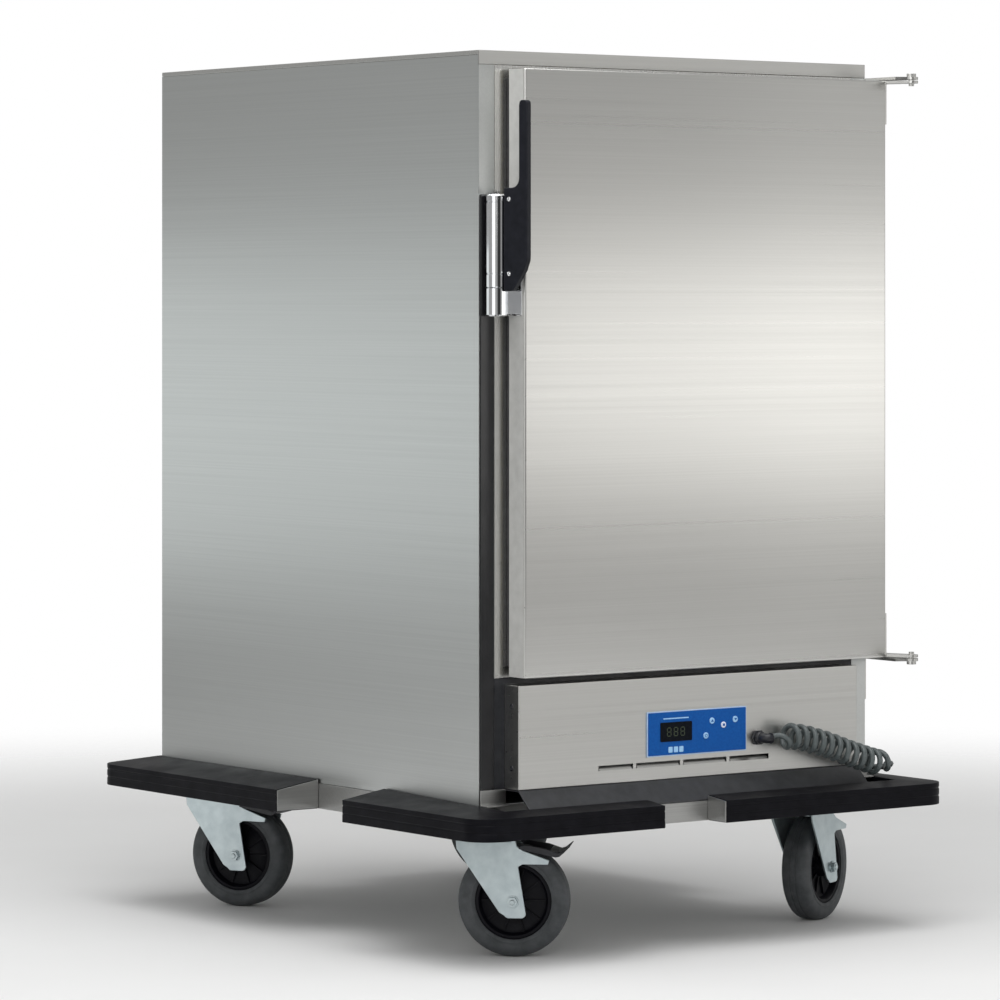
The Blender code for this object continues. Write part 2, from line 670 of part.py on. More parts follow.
def fan(floor):
    """Motor with its shaft, and a wheel of slanted blades on a disc."""
    def upright(name, radius, low, high, sides):
        return cylinder(name, radius, (FAN_X, FAN_Y, low), (FAN_X, FAN_Y, high), None, True, sides)

    motor = cylinder("fan_motor", 0.0350, (FAN_X, FAN_Y, floor), (FAN_X, FAN_Y, floor + 0.0480),
                     BLACK, False, 28)
    join(motor, upright("fan_shaft", 0.0040, floor + 0.0400, floor + 0.0760, 16))
    hub_low = floor + 0.0520
    wheel = cylinder("fan_wheel", 0.0130, (0, 0, 0), (0, 0, 0.0200), STEEL, False, 24)
    wheel.location = (FAN_X, FAN_Y, hub_low)
    join(wheel, upright("fan_disc", 0.0700, hub_low, hub_low + 0.0020, 32))
    bm = bmesh.new()
    for index in range(FAN_BLADES):
        turn = Matrix.Rotation(index * 2 * pi / FAN_BLADES, 4, "Z")
        slant = Matrix.Translation((0.0480, 0, 0)) @ Matrix.Rotation(radians(35), 4, "Z")
        blade = box_mesh("blade", [((-0.0170, -0.0008, 0.0010), (0.0170, 0.0008, 0.0260))])
        blade.transform(Matrix.Translation((FAN_X, FAN_Y, hub_low)) @ turn @ slant)
        bm.from_mesh(blade)
    mesh = bpy.data.meshes.new("fan_blades")
    bm.to_mesh(mesh)
    bm.free()
    join(wheel, add("fan_blades", mesh, None, True))
    cut(wheel, upright("fan_bore", 0.0043, 0, 1, 16))


def heating_parts():
    low, high = BAY_LOW + 0.0020, BAY_HIGH - 0.0030
    floor = heater_tray(BAY_HALF_W - 0.0060, low, high)
    heating_element(low + 0.0450)
    fan(floor)


# ---- door ------------------------------------------------------------------------------------
def door():
    """Outer shell, foam, inner liner with a boss, and the gasket."""
    back = DOOR_FRONT + DOOR_SHELL
    skin = box("door_skin", (DOOR_LEFT, DOOR_FRONT, DOOR_LOW), (DOOR_RIGHT, back, DOOR_HIGH), STEEL)
    bevel(skin, 0.0025, 2)
    cut(skin, boxes_tool("door_skin_hollow", [(
        (DOOR_LEFT + SHEET, DOOR_FRONT + SHEET, DOOR_LOW + SHEET),
        (DOOR_RIGHT - SHEET, 1, DOOR_HIGH - SHEET))]))
    gap = SHEET + FOAM_GAP
    box("door_insulation", (DOOR_LEFT + gap, DOOR_FRONT + gap, DOOR_LOW + gap),
        (DOOR_RIGHT - gap, back - FOAM_GAP, DOOR_HIGH - gap), FOAM)

    sheet, margin, boss_gap = LINER_SHEET, 0.0020, 0.0080
    liner_front, liner_back = back + CLEAR, back + CLEAR + sheet
    boss_half, boss_low, boss_high = OPEN_HALF_W - boss_gap, OPEN_LOW + boss_gap, OPEN_HIGH - boss_gap
    boss_back = CAB_FRONT + boss_gap
    liner = box("door_liner", (DOOR_LEFT + margin, liner_front, DOOR_LOW + margin),
                (DOOR_RIGHT - margin, liner_back, DOOR_HIGH - margin), LINER_STEEL)
    join(liner, box("door_liner_boss", (-boss_half, liner_front, boss_low), (boss_half, boss_back, boss_high),
                    None, True))
    cut(liner, boxes_tool("door_liner_boss_hollow", [(
        (-boss_half + sheet, -1, boss_low + sheet),
        (boss_half - sheet, boss_back - sheet, boss_high - sheet))]))

    gasket = box("door_gasket", (-GASKET_HALF_W, liner_back + CLEAR, GASKET_LOW),
                 (GASKET_HALF_W, CAB_FRONT - CLEAR, GASKET_HIGH), SEAL)
    cut(gasket, boxes_tool("door_gasket_hole", [(
        (-GASKET_HALF_W + GASKET_W, -1, GASKET_LOW + GASKET_W),
        (GASKET_HALF_W - GASKET_W, 1, GASKET_HIGH - GASKET_W))]))


def hinge(name, leaf_low, arm_low, upper):
    """Door leaf with an eye, and a cabinet arm with the pin."""
    thick, tab_thick, tab_long, lap = 0.0040, 0.0030, 0.0610, 0.0010
    pin_end, head_high = 0.0040, 0.0050
    face = CAB_HALF_W + CLEAR
    eye = 0.0100

    def strip(start_y):
        points = [(face, start_y), (face, start_y - 0.0220)]
        if start_y > CAB_FRONT:
            points = [(face, start_y), (face, PIVOT_Y + 0.0060)]
        return points + arc(PIVOT_X, PIVOT_Y, eye, 195, 400, 12) + [(face + 0.0160, start_y)]

    def tab(part, front_y, back_y, low, high):
        return box(part + name, (face, front_y, low), (face + tab_thick, back_y, high), None, True)

    def round_tool(part, radius, low, high, sides):
        return cylinder(part + name, radius, (PIVOT_X, PIVOT_Y, low), (PIVOT_X, PIVOT_Y, high),
                        None, True, sides)

    leaf = plate("hinge_leaf_" + name, strip(-0.4180), thick,
                 Matrix.Translation((0, 0, leaf_low + thick / 2)), STEEL)
    arm = plate("hinge_arm_" + name, strip(-0.3700), thick,
                Matrix.Translation((0, 0, arm_low + thick / 2)), STEEL)
    if upper:
        leaf_tab = (leaf_low - tab_long, leaf_low + lap)
        arm_tab = (arm_low - tab_long, arm_low + lap)
        pin = (leaf_low - pin_end, arm_low + thick + lap)
        head = (arm_low + thick - lap / 2, arm_low + thick + head_high)
    else:
        leaf_tab = (leaf_low + thick - lap, leaf_low + thick + tab_long)
        arm_tab = (arm_low - tab_long, arm_low + thick - lap)
        pin = (arm_low - lap, leaf_low + thick + pin_end)
        head = (arm_low - head_high, arm_low + lap / 2)
    join(leaf, tab("leaf_tab_", -0.4430, -0.4100, *leaf_tab))
    cut(leaf, round_tool("leaf_eye_", EYE_R, 0, 2, 24))
    join(arm, tab("arm_tab_", -0.3960, -0.3700, *arm_tab))
    join(arm, round_tool("hinge_pin_", PIN_R, *pin, 24))
    join(arm, round_tool("hinge_head_", 0.0070, *head, 16))


def latch():
    """Chrome barrel that turns on a pin held by a bracket on the door's edge, with a black lever."""
    def round_tool(name, radius, low, high, sides):
        return cylinder(name, radius, (LATCH_X, LATCH_Y, low), (LATCH_X, LATCH_Y, high), None, True, sides)

    door_side, foot_half, pin_r = DOOR_LEFT - CLEAR, 0.0070, 0.0050
    bracket = box("latch_bracket", (door_side - 0.0020, -0.4400, LATCH_LOW),
                  (door_side, -0.4080, LATCH_HIGH + 0.0060), CHROME)
    join(bracket, round_tool("latch_knuckle", LATCH_R, LATCH_LOW, LATCH_SEAM - 0.0004, 32))
    join(bracket, box("latch_foot", (LATCH_X, LATCH_Y - foot_half, LATCH_LOW + 0.0030),
                      (door_side - 0.0010, LATCH_Y + foot_half, LATCH_SEAM - 0.0040), None, True))
    join(bracket, round_tool("latch_pin", pin_r, LATCH_LOW + 0.0100, LATCH_HIGH - 0.0050, 24))

    barrel = cylinder("latch_barrel", LATCH_R, (0, 0, LATCH_SEAM), (0, 0, LATCH_HIGH), CHROME, False, 32)
    barrel.location = (LATCH_X, LATCH_Y, 0)
    cut(barrel, round_tool("latch_bore", pin_r + CLEAR, 0.5, LATCH_HIGH - 0.0040, 24))
    smooth(barrel)

    # lever outline: distance from the barrel axis, height
    root = LATCH_R + CLEAR + 0.0004
    side = [(root, 0.9440), (0.0330, 0.9450), (0.0580, 1.0060), (0.0580, 1.2130), (0.0540, 1.2190),
            (0.0450, 1.2190), (0.0430, 1.2150), (0.0430, 1.1080)]
    side += arc(0.0330, 1.1000, 0.0100, 40, 90, 4)[1:] + [(root, 1.0960)]
    turn = Matrix.Translation((LATCH_X, LATCH_Y, 0)) @ Matrix.Rotation(LEVER_ANGLE, 4, "Z")
    lever = plate("latch_lever", side, 0.0100, ON_EDGE, BLACK)
    lever.matrix_world = turn
    bevel(lever, 0.0018, 2)


def hang_door():
    """Parents what swings with the door to an empty on the hinge axis."""
    pivot = bpy.data.objects.new("door_pivot", None)
    pivot.location = (PIVOT_X, PIVOT_Y, 0)
    PARTS.objects.link(pivot)
    bpy.context.view_layer.update()
    for name in ("door_skin", "door_insulation", "door_liner", "door_gasket", "hinge_leaf_upper",
                 "hinge_leaf_lower", "latch_bracket", "latch_barrel", "latch_lever"):
        piece = bpy.data.objects[name]
        piece.parent = pivot
        piece.matrix_parent_inverse = pivot.matrix_world.inverted()


def stile_trim():
    """Dark strip on the left stile, from beside the control unit up to the latch, which closes on it."""
    thick, left, right = 0.0022, -0.3580, -0.3345
    back = CAB_FRONT - CLEAR
    trim = box("stile_trim", (left, back - thick, UNIT_LOW), (right, back, LATCH_HIGH), BLACK)
    bevel(trim, 0.0005, 1)


# ---- rear handle and cord --------------------------------------------------------------------
def push_handle():
    """Bent tube across the back, with both ends on the back panel."""
    start = CAB_BACK + CLEAR
    bend_x, bend_y = HANDLE_HALF - HANDLE_BEND, start + HANDLE_REACH - HANDLE_BEND
    path = [(-HANDLE_HALF, start)]
    path += arc(-bend_x, bend_y, HANDLE_BEND, 180, 90, 6)
    path += arc(bend_x, bend_y, HANDLE_BEND, 90, 0, 6)
    path.append((HANDLE_HALF, start))
    tube("push_handle", [(x, y, HANDLE_Z) for x, y in path], 0.0110, 3, CHROME)


def catmull(points, count):
    """Smooth points through the given ones, count for each stretch."""
    ends = [points[0] * 2 - points[1]] + list(points) + [points[-1] * 2 - points[-2]]
    out = []
    for a, b, c, d in zip(ends, ends[1:], ends[2:], ends[3:]):
        for i in range(count):
            t = i / count
            out.append(0.5 * (2 * b + (c - a) * t + (2 * a - 5 * b + 4 * c - d) * t ** 2
                              + (3 * b - a - 3 * c + d) * t ** 3))
    out.append(points[-1])
    return out


def power_cord():
    """Spiral stretch along the front, then a straight tail along the right side to the plug."""
    coil_route = [Vector(p) for p in (
        (0.1340, -0.4537, 0.2960), (0.1800, -0.4580, 0.2960), (0.2300, -0.4640, 0.2830),
        (0.2800, -0.4700, 0.2660), (0.3300, -0.4720, 0.2510), (0.3720, -0.4560, 0.2480))]
    tube("cord_coil", [tuple(p) for p in catmull(coil_route, 3)], COIL_R, 3, CORD)
    tail_route = [Vector(p) for p in (
        (0.3728, -0.4557, 0.2479), (0.3860, -0.4490, 0.2460), (0.3980, -0.4250, 0.2380),
        (0.4020, -0.3900, 0.2320), (0.4010, -0.3400, 0.2310), (0.3975, -0.2950, 0.2370),
        (0.3970, -0.2700, 0.2430), (0.3970, -0.2600, 0.2430))]
    tube("cord_tail", [tuple(p) for p in catmull(tail_route, 2)], CORD_R, 2, CORD)
    plug = cylinder("mains_plug", 0.0070, (PLUG_X, -0.2590, PLUG_Z), (PLUG_X, -0.2240, PLUG_Z), BLACK, False,
                    24, 0.0160)
    join(plug, cylinder("plug_body", 0.0180, (PLUG_X, -0.2245, PLUG_Z), (PLUG_X, -0.2080, PLUG_Z),
                        None, True, 24))


def main():
    side_panel("side_panel_left", -1)
    side_panel("side_panel_right", 1)
    back_panel()
    top_panel()
    floor_panel()
    front_frame("door_frame", FRAME_SPLIT + CLEAR, CAB_TOP - RAIL_H - CLEAR,
                OPEN_HALF_W, OPEN_LOW, OPEN_HIGH, STEEL)
    front_frame("bay_frame", UNIT_LOW, FRAME_SPLIT, BAY_HALF_W, BAY_LOW, BAY_HIGH, BLACK)
    inner_liner()
    insulation()
    pan_rack("pan_rack_left", -1)
    pan_rack("pan_rack_right", 1)
    chassis_frame()
    front_apron()
    corner_bumpers()
    for entry in CASTORS:
        castor(*entry)
    control_housing()
    control_panel()
    cable_gland()
    heating_parts()
    door()
    hinge("upper", 1.2615, 1.2670, True)
    hinge("lower", 0.4040, 0.3985, False)
    latch()
    hang_door()
    stile_trim()
    push_handle()
    power_cord()


main()
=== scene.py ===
"""Looks of the heated banquet cabinet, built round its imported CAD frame. Metres, +Z up, the door faces -Y."""
import json
from math import atan2, cos, pi, radians, sin

import bmesh
import bpy
from mathutils import Matrix, Vector


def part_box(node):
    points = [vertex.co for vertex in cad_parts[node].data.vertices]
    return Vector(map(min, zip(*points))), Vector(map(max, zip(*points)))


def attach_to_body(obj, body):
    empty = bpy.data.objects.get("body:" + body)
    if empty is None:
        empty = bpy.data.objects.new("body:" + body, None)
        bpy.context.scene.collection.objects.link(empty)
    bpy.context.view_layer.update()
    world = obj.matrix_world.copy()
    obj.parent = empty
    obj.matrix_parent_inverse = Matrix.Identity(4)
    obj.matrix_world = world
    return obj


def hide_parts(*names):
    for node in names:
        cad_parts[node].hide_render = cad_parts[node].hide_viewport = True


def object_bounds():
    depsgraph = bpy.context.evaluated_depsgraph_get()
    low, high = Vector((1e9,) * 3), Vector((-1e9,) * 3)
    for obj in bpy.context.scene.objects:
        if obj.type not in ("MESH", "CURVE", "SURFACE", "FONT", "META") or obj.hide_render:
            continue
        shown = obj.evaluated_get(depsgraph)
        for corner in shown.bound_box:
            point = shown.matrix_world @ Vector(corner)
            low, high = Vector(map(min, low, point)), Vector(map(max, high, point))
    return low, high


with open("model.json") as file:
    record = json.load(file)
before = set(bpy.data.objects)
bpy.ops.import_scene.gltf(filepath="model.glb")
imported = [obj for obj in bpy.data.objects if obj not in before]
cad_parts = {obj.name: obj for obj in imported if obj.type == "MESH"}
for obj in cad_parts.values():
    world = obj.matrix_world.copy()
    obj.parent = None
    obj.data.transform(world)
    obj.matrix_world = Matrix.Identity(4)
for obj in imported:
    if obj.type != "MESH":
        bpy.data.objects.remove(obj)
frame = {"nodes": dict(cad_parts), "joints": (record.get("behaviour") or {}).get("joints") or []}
CAD_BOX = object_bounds()
NODES = frame["nodes"]
JOINTS = {joint["name"]: joint for joint in frame["joints"]}
SHEET = 0.0015                   # steel sheet
CORNERS = ("front_left", "front_right", "rear_left", "rear_right")
BRAKED = ("front_left", "rear_left")
BEVEL_ANGLE = radians(35)        # sharper edges than this are rounded

# where a prism's outline (x, y) and its height go in the scene
STANDING = Matrix(((1, 0, 0, 0), (0, 0, -1, 0), (0, 1, 0, 0), (0, 0, 0, 1)))    # x, z, height to -Y
ON_FRONT = Matrix(((1, 0, 0, 0), (0, 0, 1, 0), (0, 1, 0, 0), (0, 0, 0, 1)))     # x, z, height to +Y
ALONG_X = Matrix(((0, 0, 1, 0), (1, 0, 0, 0), (0, 1, 0, 0), (0, 0, 0, 1)))      # y, z, height to +X


# ---- materials ----
def node(tree, kind, inputs=None, **settings):
    """A shader node with its settings, and its input values or links by name."""
    made = tree.nodes.new("ShaderNode" + kind)
    for key, value in settings.items():
        setattr(made, key, value)
    for key, value in (inputs or {}).items():
        if isinstance(value, bpy.types.NodeSocket):
            tree.links.new(value, made.inputs[key])
        else:
            made.inputs[key].default_value = value
    return made


def noise(tree, vector, scale, detail=3.0):
    """Smooth noise, from 0 to 1."""
    return node(tree, "TexNoise", {"Vector": vector, "Scale": scale, "Detail": detail,
                                   "Roughness": 0.55}).outputs["Fac"]


def ramp(tree, factor, low, high, start=0.3, end=0.7):
    """Two colours, or two grey values, blended by a factor."""
    made = node(tree, "ValToRGB", {"Fac": factor})
    for stop, value, place in zip(made.color_ramp.elements, (low, high), (start, end)):
        stop.position = place
        stop.color = (*value, 1.0) if isinstance(value, tuple) else (value, value, value, 1.0)
    return made.outputs["Color"]


def material(name, colours, roughness, metallic=0.0, scale=60.0, stretch=(1, 1, 1), bump=0.0,
             bump_scale=900.0, depth=0.0002, **constants):
    """Colour and roughness wander between two values each, over a fine bump. Each of the constants sets
    a socket of the shader."""
    mat = bpy.data.materials.new(name)
    mat.use_nodes = True
    tree = mat.node_tree
    shader = tree.nodes["Principled BSDF"]
    shader.inputs["Metallic"].default_value = metallic
    for key, value in constants.items():
        shader.inputs[key.replace("_", " ")].default_value = value
    place = node(tree, "TexCoord").outputs["Object"]
    where = node(tree, "Mapping", {"Vector": place, "Scale": stretch}).outputs["Vector"]
    tree.links.new(ramp(tree, noise(tree, where, scale), *colours), shader.inputs["Base Color"])
    tree.links.new(ramp(tree, noise(tree, where, scale * 0.37, 4.0), *roughness), shader.inputs["Roughness"])
    if bump:
        fine = noise(tree, where, bump_scale, 2.0)
        relief = node(tree, "Bump", {"Strength": bump, "Distance": depth, "Height": fine})
        tree.links.new(relief.outputs["Normal"], shader.inputs["Normal"])
    return mat


GRAIN_STRETCH = 0.003            # the noise's scale along the grain, against its scale across it
GRAIN_SCALE = 420.0              # noise of the colour and the roughness; the scratches are the bump
SCRATCH_SCALE = 2600.0
SCRATCH_DEPTH = 0.00003


def brushed(name, grain, colours, roughness, bump=0.04):
    """Steel sheet with its grain along one axis."""
    stretch = tuple(GRAIN_STRETCH if axis == grain else 1.0 for axis in "XYZ")
    return material(name, colours, roughness, 1.0, GRAIN_SCALE, stretch, bump, SCRATCH_SCALE, SCRATCH_DEPTH)


STEEL_TONES = ((0.625, 0.622, 0.602), (0.665, 0.662, 0.642))
SIDE_STEEL = brushed("steel_side", "Y", ((0.615, 0.630, 0.622), (0.655, 0.670, 0.662)), (0.28, 0.32))
FRONT_STEEL = brushed("steel_front", "X", STEEL_TONES, (0.27, 0.31))
PLAIN_STEEL = brushed("steel_plain", "Z", STEEL_TONES, (0.28, 0.36))
FRAME_STEEL = brushed("steel_frame", "Z", ((0.755, 0.75, 0.73), (0.775, 0.77, 0.75)), (0.26, 0.28))
# paler, barely metallic copy of the door steel for the door's left side face: a painted highlight
DOOR_SIDE_LIGHT_PAINT = material("door_side_painted_light", ((0.60, 0.60, 0.58), (0.68, 0.68, 0.66)), (0.34, 0.44), 0.25, 60.0)
CHASSIS_STEEL = brushed("steel_chassis", "X", ((0.37, 0.37, 0.365), (0.43, 0.43, 0.42)), (0.32, 0.40))
LINER_STEEL = brushed("steel_liner", "Z", ((0.60, 0.60, 0.59), (0.63, 0.63, 0.62)), (0.25, 0.27), 0.02)
CHROME = material("chrome", ((0.80, 0.81, 0.83), (0.88, 0.89, 0.90)), (0.05, 0.12), 1.0, 40.0)
ZINC = material("zinc_plate", ((0.46, 0.53, 0.55), (0.56, 0.63, 0.645)), (0.28, 0.38), 0.9, 60.0,
                bump=0.15, bump_scale=700.0)
BUMPER = material("bumper_rubber", ((0.0025, 0.0025, 0.0040), (0.0060, 0.0060, 0.0085)), (0.36, 0.50), 0.0,
                  45.0, bump=0.35, bump_scale=1300.0, Specular_IOR_Level=0.08)
BLACK = material("black_plastic", ((0.008, 0.009, 0.013), (0.018, 0.019, 0.024)), (0.30, 0.42), 0.0, 80.0,
                 bump=0.25, bump_scale=1800.0)
LEVER = material("lever_plastic", ((0.006, 0.007, 0.011), (0.012, 0.013, 0.019)), (0.34, 0.46), 0.0, 80.0,
                 bump=0.2, bump_scale=1300.0, Specular_IOR_Level=0.22)
APRON = material("apron_coating", ((0.020, 0.021, 0.024), (0.034, 0.036, 0.040)), (0.34, 0.46), 0.0, 60.0,
                 bump=0.25, bump_scale=900.0)
TYRE = material("tyre_rubber", ((0.042, 0.047, 0.051), (0.070, 0.076, 0.081)), (0.50, 0.68), 0.0, 75.0,
                bump=0.5, bump_scale=700.0)
RIM = material("rim_plastic", ((0.002, 0.002, 0.004), (0.005, 0.005, 0.008)), (0.40, 0.52), 0.0, 90.0,
               bump=0.25, bump_scale=1500.0, Specular_IOR_Level=0.15)
# black, glossy strip over the stile from the latch down: a painted dark reflection of the polished stile
STILE_DARK_PAINT = material("stile_painted_dark_reflection", ((0.006, 0.006, 0.007), (0.012, 0.012, 0.014)), (0.14, 0.26), 0.0, 50.0)
BLUE = material("panel_film", ((0.002, 0.078, 0.340), (0.004, 0.100, 0.400)), (0.28, 0.36), 0.0, 300.0,
                bump=0.1, bump_scale=2600.0, Specular_IOR_Level=0.15)
BORDER = material("panel_border", ((0.42, 0.58, 0.80), (0.52, 0.66, 0.86)), (0.30, 0.40), 0.0, 300.0)
MARKS = material("panel_marks", ((0.30, 0.58, 0.90), (0.40, 0.66, 0.95)), (0.30, 0.40), 0.0, 300.0)
PALE_MARK = material("pale_mark", ((0.66, 0.72, 0.90), (0.78, 0.82, 0.95)), (0.30, 0.40), 0.0, 300.0)
GLASS = material("display_glass", ((0.003, 0.004, 0.007), (0.008, 0.010, 0.014)), (0.05, 0.12), 0.0, 200.0,
                 Specular_IOR_Level=0.12)
DIGITS = material("display_digits", ((0.030, 0.045, 0.020), (0.045, 0.065, 0.030)), (0.30, 0.40), 0.0, 500.0)
CORD = material("cord_jacket", ((0.065, 0.078, 0.080), (0.105, 0.124, 0.126)), (0.32, 0.46), 0.0, 160.0,
                bump=0.2, bump_scale=1500.0)
FOAM = material("foam", ((0.52, 0.43, 0.20), (0.68, 0.58, 0.32)), (0.85, 0.95), 0.0, 110.0, bump=0.9,
                bump_scale=520.0, depth=0.001)
SEAL = material("seal_rubber", ((0.022, 0.022, 0.024), (0.042, 0.042, 0.044)), (0.50, 0.66), 0.0, 120.0,
                bump=0.3)
ELEMENT = material("element_sheath", ((0.20, 0.17, 0.14), (0.36, 0.31, 0.26)), (0.35, 0.50), 0.9, 90.0,
                   bump=0.3)


# ---- geometry helpers ----
def new_object(name, data):
    """An object in the scene."""
    obj = bpy.data.objects.new(name, data)
    bpy.context.scene.collection.objects.link(obj)
    return obj


def piece(name, bm, mat, body, replaces=(), angle=35, edge=0.0, steps=2):
    """Links a mesh, shades it, rounds its edges, and rides it on its body."""
    bmesh.ops.recalc_face_normals(bm, faces=bm.faces)
    mesh = bpy.data.meshes.new(name)
    bm.to_mesh(mesh)
    bm.free()
    mesh.materials.append(mat)
    mesh.shade_smooth()
    mesh.set_sharp_from_angle(angle=radians(angle))
    obj = new_object(name, mesh)
    if edge:
        rounded(obj, edge, steps)
    return attach(obj, body, replaces)


def attach(obj, body, replaces=()):
    """Rides an object on its body, and hides the nodes it replaces."""
    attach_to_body(obj, body)
    if replaces:
        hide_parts(*replaces)
    return obj


def rounded(obj, width, steps=2):
    """Rounds an object's sharp edges."""
    bevel = obj.modifiers.new("rounded_edges", "BEVEL")
    bevel.width = width
    bevel.segments = steps
    bevel.limit_method = "ANGLE"
    bevel.angle_limit = BEVEL_ANGLE
    bevel.harden_normals = True
    return bevel


def add_box(bm, low, high, matrix=Matrix.Identity(4)):
    """A box between two corners."""
    size = Vector(high) - Vector(low)
    middle = (Vector(high) + Vector(low)) / 2
    place = matrix @ Matrix.Translation(middle) @ Matrix.Diagonal((*size, 1.0))
    bmesh.ops.create_cube(bm, size=1.0, matrix=place)


def add_lathe(bm, profile, matrix=Matrix.Identity(4), steps=64, closed=False):
    """Turns (radius, height) points round Z. A radius of 0 closes the shape with a point."""
    rings = []
    for radius, height in profile:
        if radius == 0:
            rings.append([bm.verts.new(matrix @ Vector((0, 0, height)))])
            continue
        rings.append([bm.verts.new(matrix @ Vector((radius * cos(2 * pi * i / steps),
                                                    radius * sin(2 * pi * i / steps), height)))
                      for i in range(steps)])
    pairs = list(zip(rings, rings[1:]))
    if closed:
        pairs.append((rings[-1], rings[0]))
    for first, second in pairs:
        if len(first) == len(second) == 1:
            continue
        for i in range(steps):
            j = (i + 1) % steps
            corners = [first[i % len(first)], first[j % len(first)],
                       second[j % len(second)], second[i % len(second)]]
            bm.faces.new(list(dict.fromkeys(corners)))


def add_prism(bm, outline, low, high, matrix=Matrix.Identity(4)):
    """A flat outline of (x, y) points, raised from low to high along Z."""
    bottom = [bm.verts.new(matrix @ Vector((x, y, low))) for x, y in outline]
    top = [bm.verts.new(matrix @ Vector((x, y, high))) for x, y in outline]
    count = len(outline)
    bm.faces.new(list(reversed(bottom)))
    bm.faces.new(top)
    for i in range(count):
        j = (i + 1) % count
        bm.faces.new((bottom[i], bottom[j], top[j], top[i]))


def arc(cx, cy, radius, start, end, count):
    """Points on an arc, angles in degrees."""
    return [(cx + radius * cos(radians(start + (end - start) * i / (count - 1))),
             cy + radius * sin(radians(start + (end - start) * i / (count - 1)))) for i in range(count)]


def rounded_rect(x0, y0, x1, y1, radius, count=6):
    """Outline of a rectangle with rounded corners, count points for each."""
    return (arc(x1 - radius, y1 - radius, radius, 0, 90, count)
            + arc(x0 + radius, y1 - radius, radius, 90, 180, count)
            + arc(x0 + radius, y0 + radius, radius, 180, 270, count)
            + arc(x1 - radius, y0 + radius, radius, 270, 360, count))


def hexagon(radius):
    """Outline of a bolt's head or a nut."""
    return [(radius * cos(pi * i / 3), radius * sin(pi * i / 3)) for i in range(6)]


def facing(point, direction):
    """A frame at a point, with Z along a direction."""
    return Matrix.Translation(point) @ Vector(direction).to_track_quat("Z", "Y").to_matrix().to_4x4()


def add_screw(bm, matrix, radius=0.0045, height=0.0022):
    """A pan head with a round recess, standing on the plane Z = 0."""
    dome = [(radius * cos(radians(a)), height * sin(radians(a)) ** 0.8) for a in (0, 25, 45, 60)]
    recess = radius * 0.42
    profile = [(0, -0.0004), (radius, -0.0004)] + dome
    profile += [(recess, height * 0.97), (recess * 0.7, height * 0.45), (0, height * 0.35)]
    add_lathe(bm, profile, matrix, 20)


def tube(name, points, radius, mat, body, replaces=(), sides=4):
    """A round bar through the given points."""
    curve = bpy.data.curves.new(name, "CURVE")
    curve.dimensions = "3D"
    curve.bevel_depth = radius
    curve.bevel_resolution = sides
    curve.use_fill_caps = True
    curve.materials.append(mat)
    spline = curve.splines.new("POLY")
    spline.points.add(len(points) - 1)
    for point, place in zip(spline.points, points):
        point.co = (*place, 1.0)
    spline.use_smooth = True
    return attach(new_object(name, curve), body, replaces)


def through(points, count):
    """Smooth points through the given ones, count for each stretch."""
    points = [Vector(p) for p in points]
    ends = [points[0] * 2 - points[1]] + points + [points[-1] * 2 - points[-2]]
    out = []
    for a, b, c, d in zip(ends, ends[1:], ends[2:], ends[3:]):
        for i in range(count):
            t = i / count
            out.append(0.5 * (2 * b + (c - a) * t + (2 * a - 5 * b + 4 * c - d) * t ** 2
                              + (3 * b - a - 3 * c + d) * t ** 3))
    return out + [points[-1]]


def cut_with(obj, bm):
    """Cuts with a mesh and applies, so that no cutter stays in the scene."""
    mesh = bpy.data.meshes.new("cutter")
    bm.to_mesh(mesh)
    bm.free()
    cutter = new_object("cutter", mesh)
    step = obj.modifiers.new("cut", "BOOLEAN")
    step.operation = "DIFFERENCE"
    step.solver = "EXACT"
    step.object = cutter
    bpy.context.view_layer.update()
    cut = bpy.data.meshes.new_from_object(obj.evaluated_get(bpy.context.evaluated_depsgraph_get()))
    obj.modifiers.clear()
    obj.data = cut
    cut.set_sharp_from_angle(angle=radians(30))
    even = obj.modifiers.new("flat_faces", "WEIGHTED_NORMAL")
    even.keep_sharp = True
    bpy.data.objects.remove(cutter, do_unlink=True)


# ---- camera, light, floor ----
CAMERA_PLACE = (-4.2461, -5.7043, 0.9417)
CAMERA_HEADING = radians(-36.477)
CAMERA_LENS = 167.68             # mm, on a 36 mm sensor
CAMERA_SHIFT = -0.2026
FLOOR_R = 3.4
FLOOR_FADE = (0.42, 0.97)        # where the floor starts and stops fading, as fractions of its radius
ROOM_LOW = (0.225, 0.225, 0.222)
ROOM_HIGH = (0.46, 0.46, 0.455)
ROOM_BLEND = 0.35                # the blend from low to high spans this much of Z, down and up
FLAG_DIRECTION = (-0.22, -0.9755, 0.0)
FLAG_EDGE = (0.93, 0.985)        # cosines of the angles at which a soft edge starts and stops
FLAG_LEVEL = 0.10
WINDOW_DIRECTION = (-0.94, -0.337, 0.05)
WINDOW_EDGE = (0.93, 0.99)
WINDOW_LEVEL = 1.0
WARM, COOL, NEUTRAL = (1.0, 0.985, 0.96), (0.94, 1.0, 1.0), (1, 1, 1)
LIGHTS = (                       # name, place, target, width, height, power, colour
    ("door_band", (1.62, -2.45, 0.80), (0.1, -0.4, 0.76), 2.5, 0.72, 6.7, WARM),
    ("side_band", (-1.55, 1.80, 0.72), (-0.3, -0.1, 0.70), 2.1, 0.64, 2.2, COOL),
    ("front_fill", (3.0, -2.2, 0.9), (0.1, -0.4, 0.75), 2.0, 3.0, 3.0, WARM),
    ("top_soft", (-0.6, -0.8, 3.4), (0, 0, 0), 3.2, 3.2, 95, NEUTRAL),
    ("camera_fill", (-2.6, -3.4, 2.0), (0, 0, 0.3), 1.6, 1.6, 14, NEUTRAL))


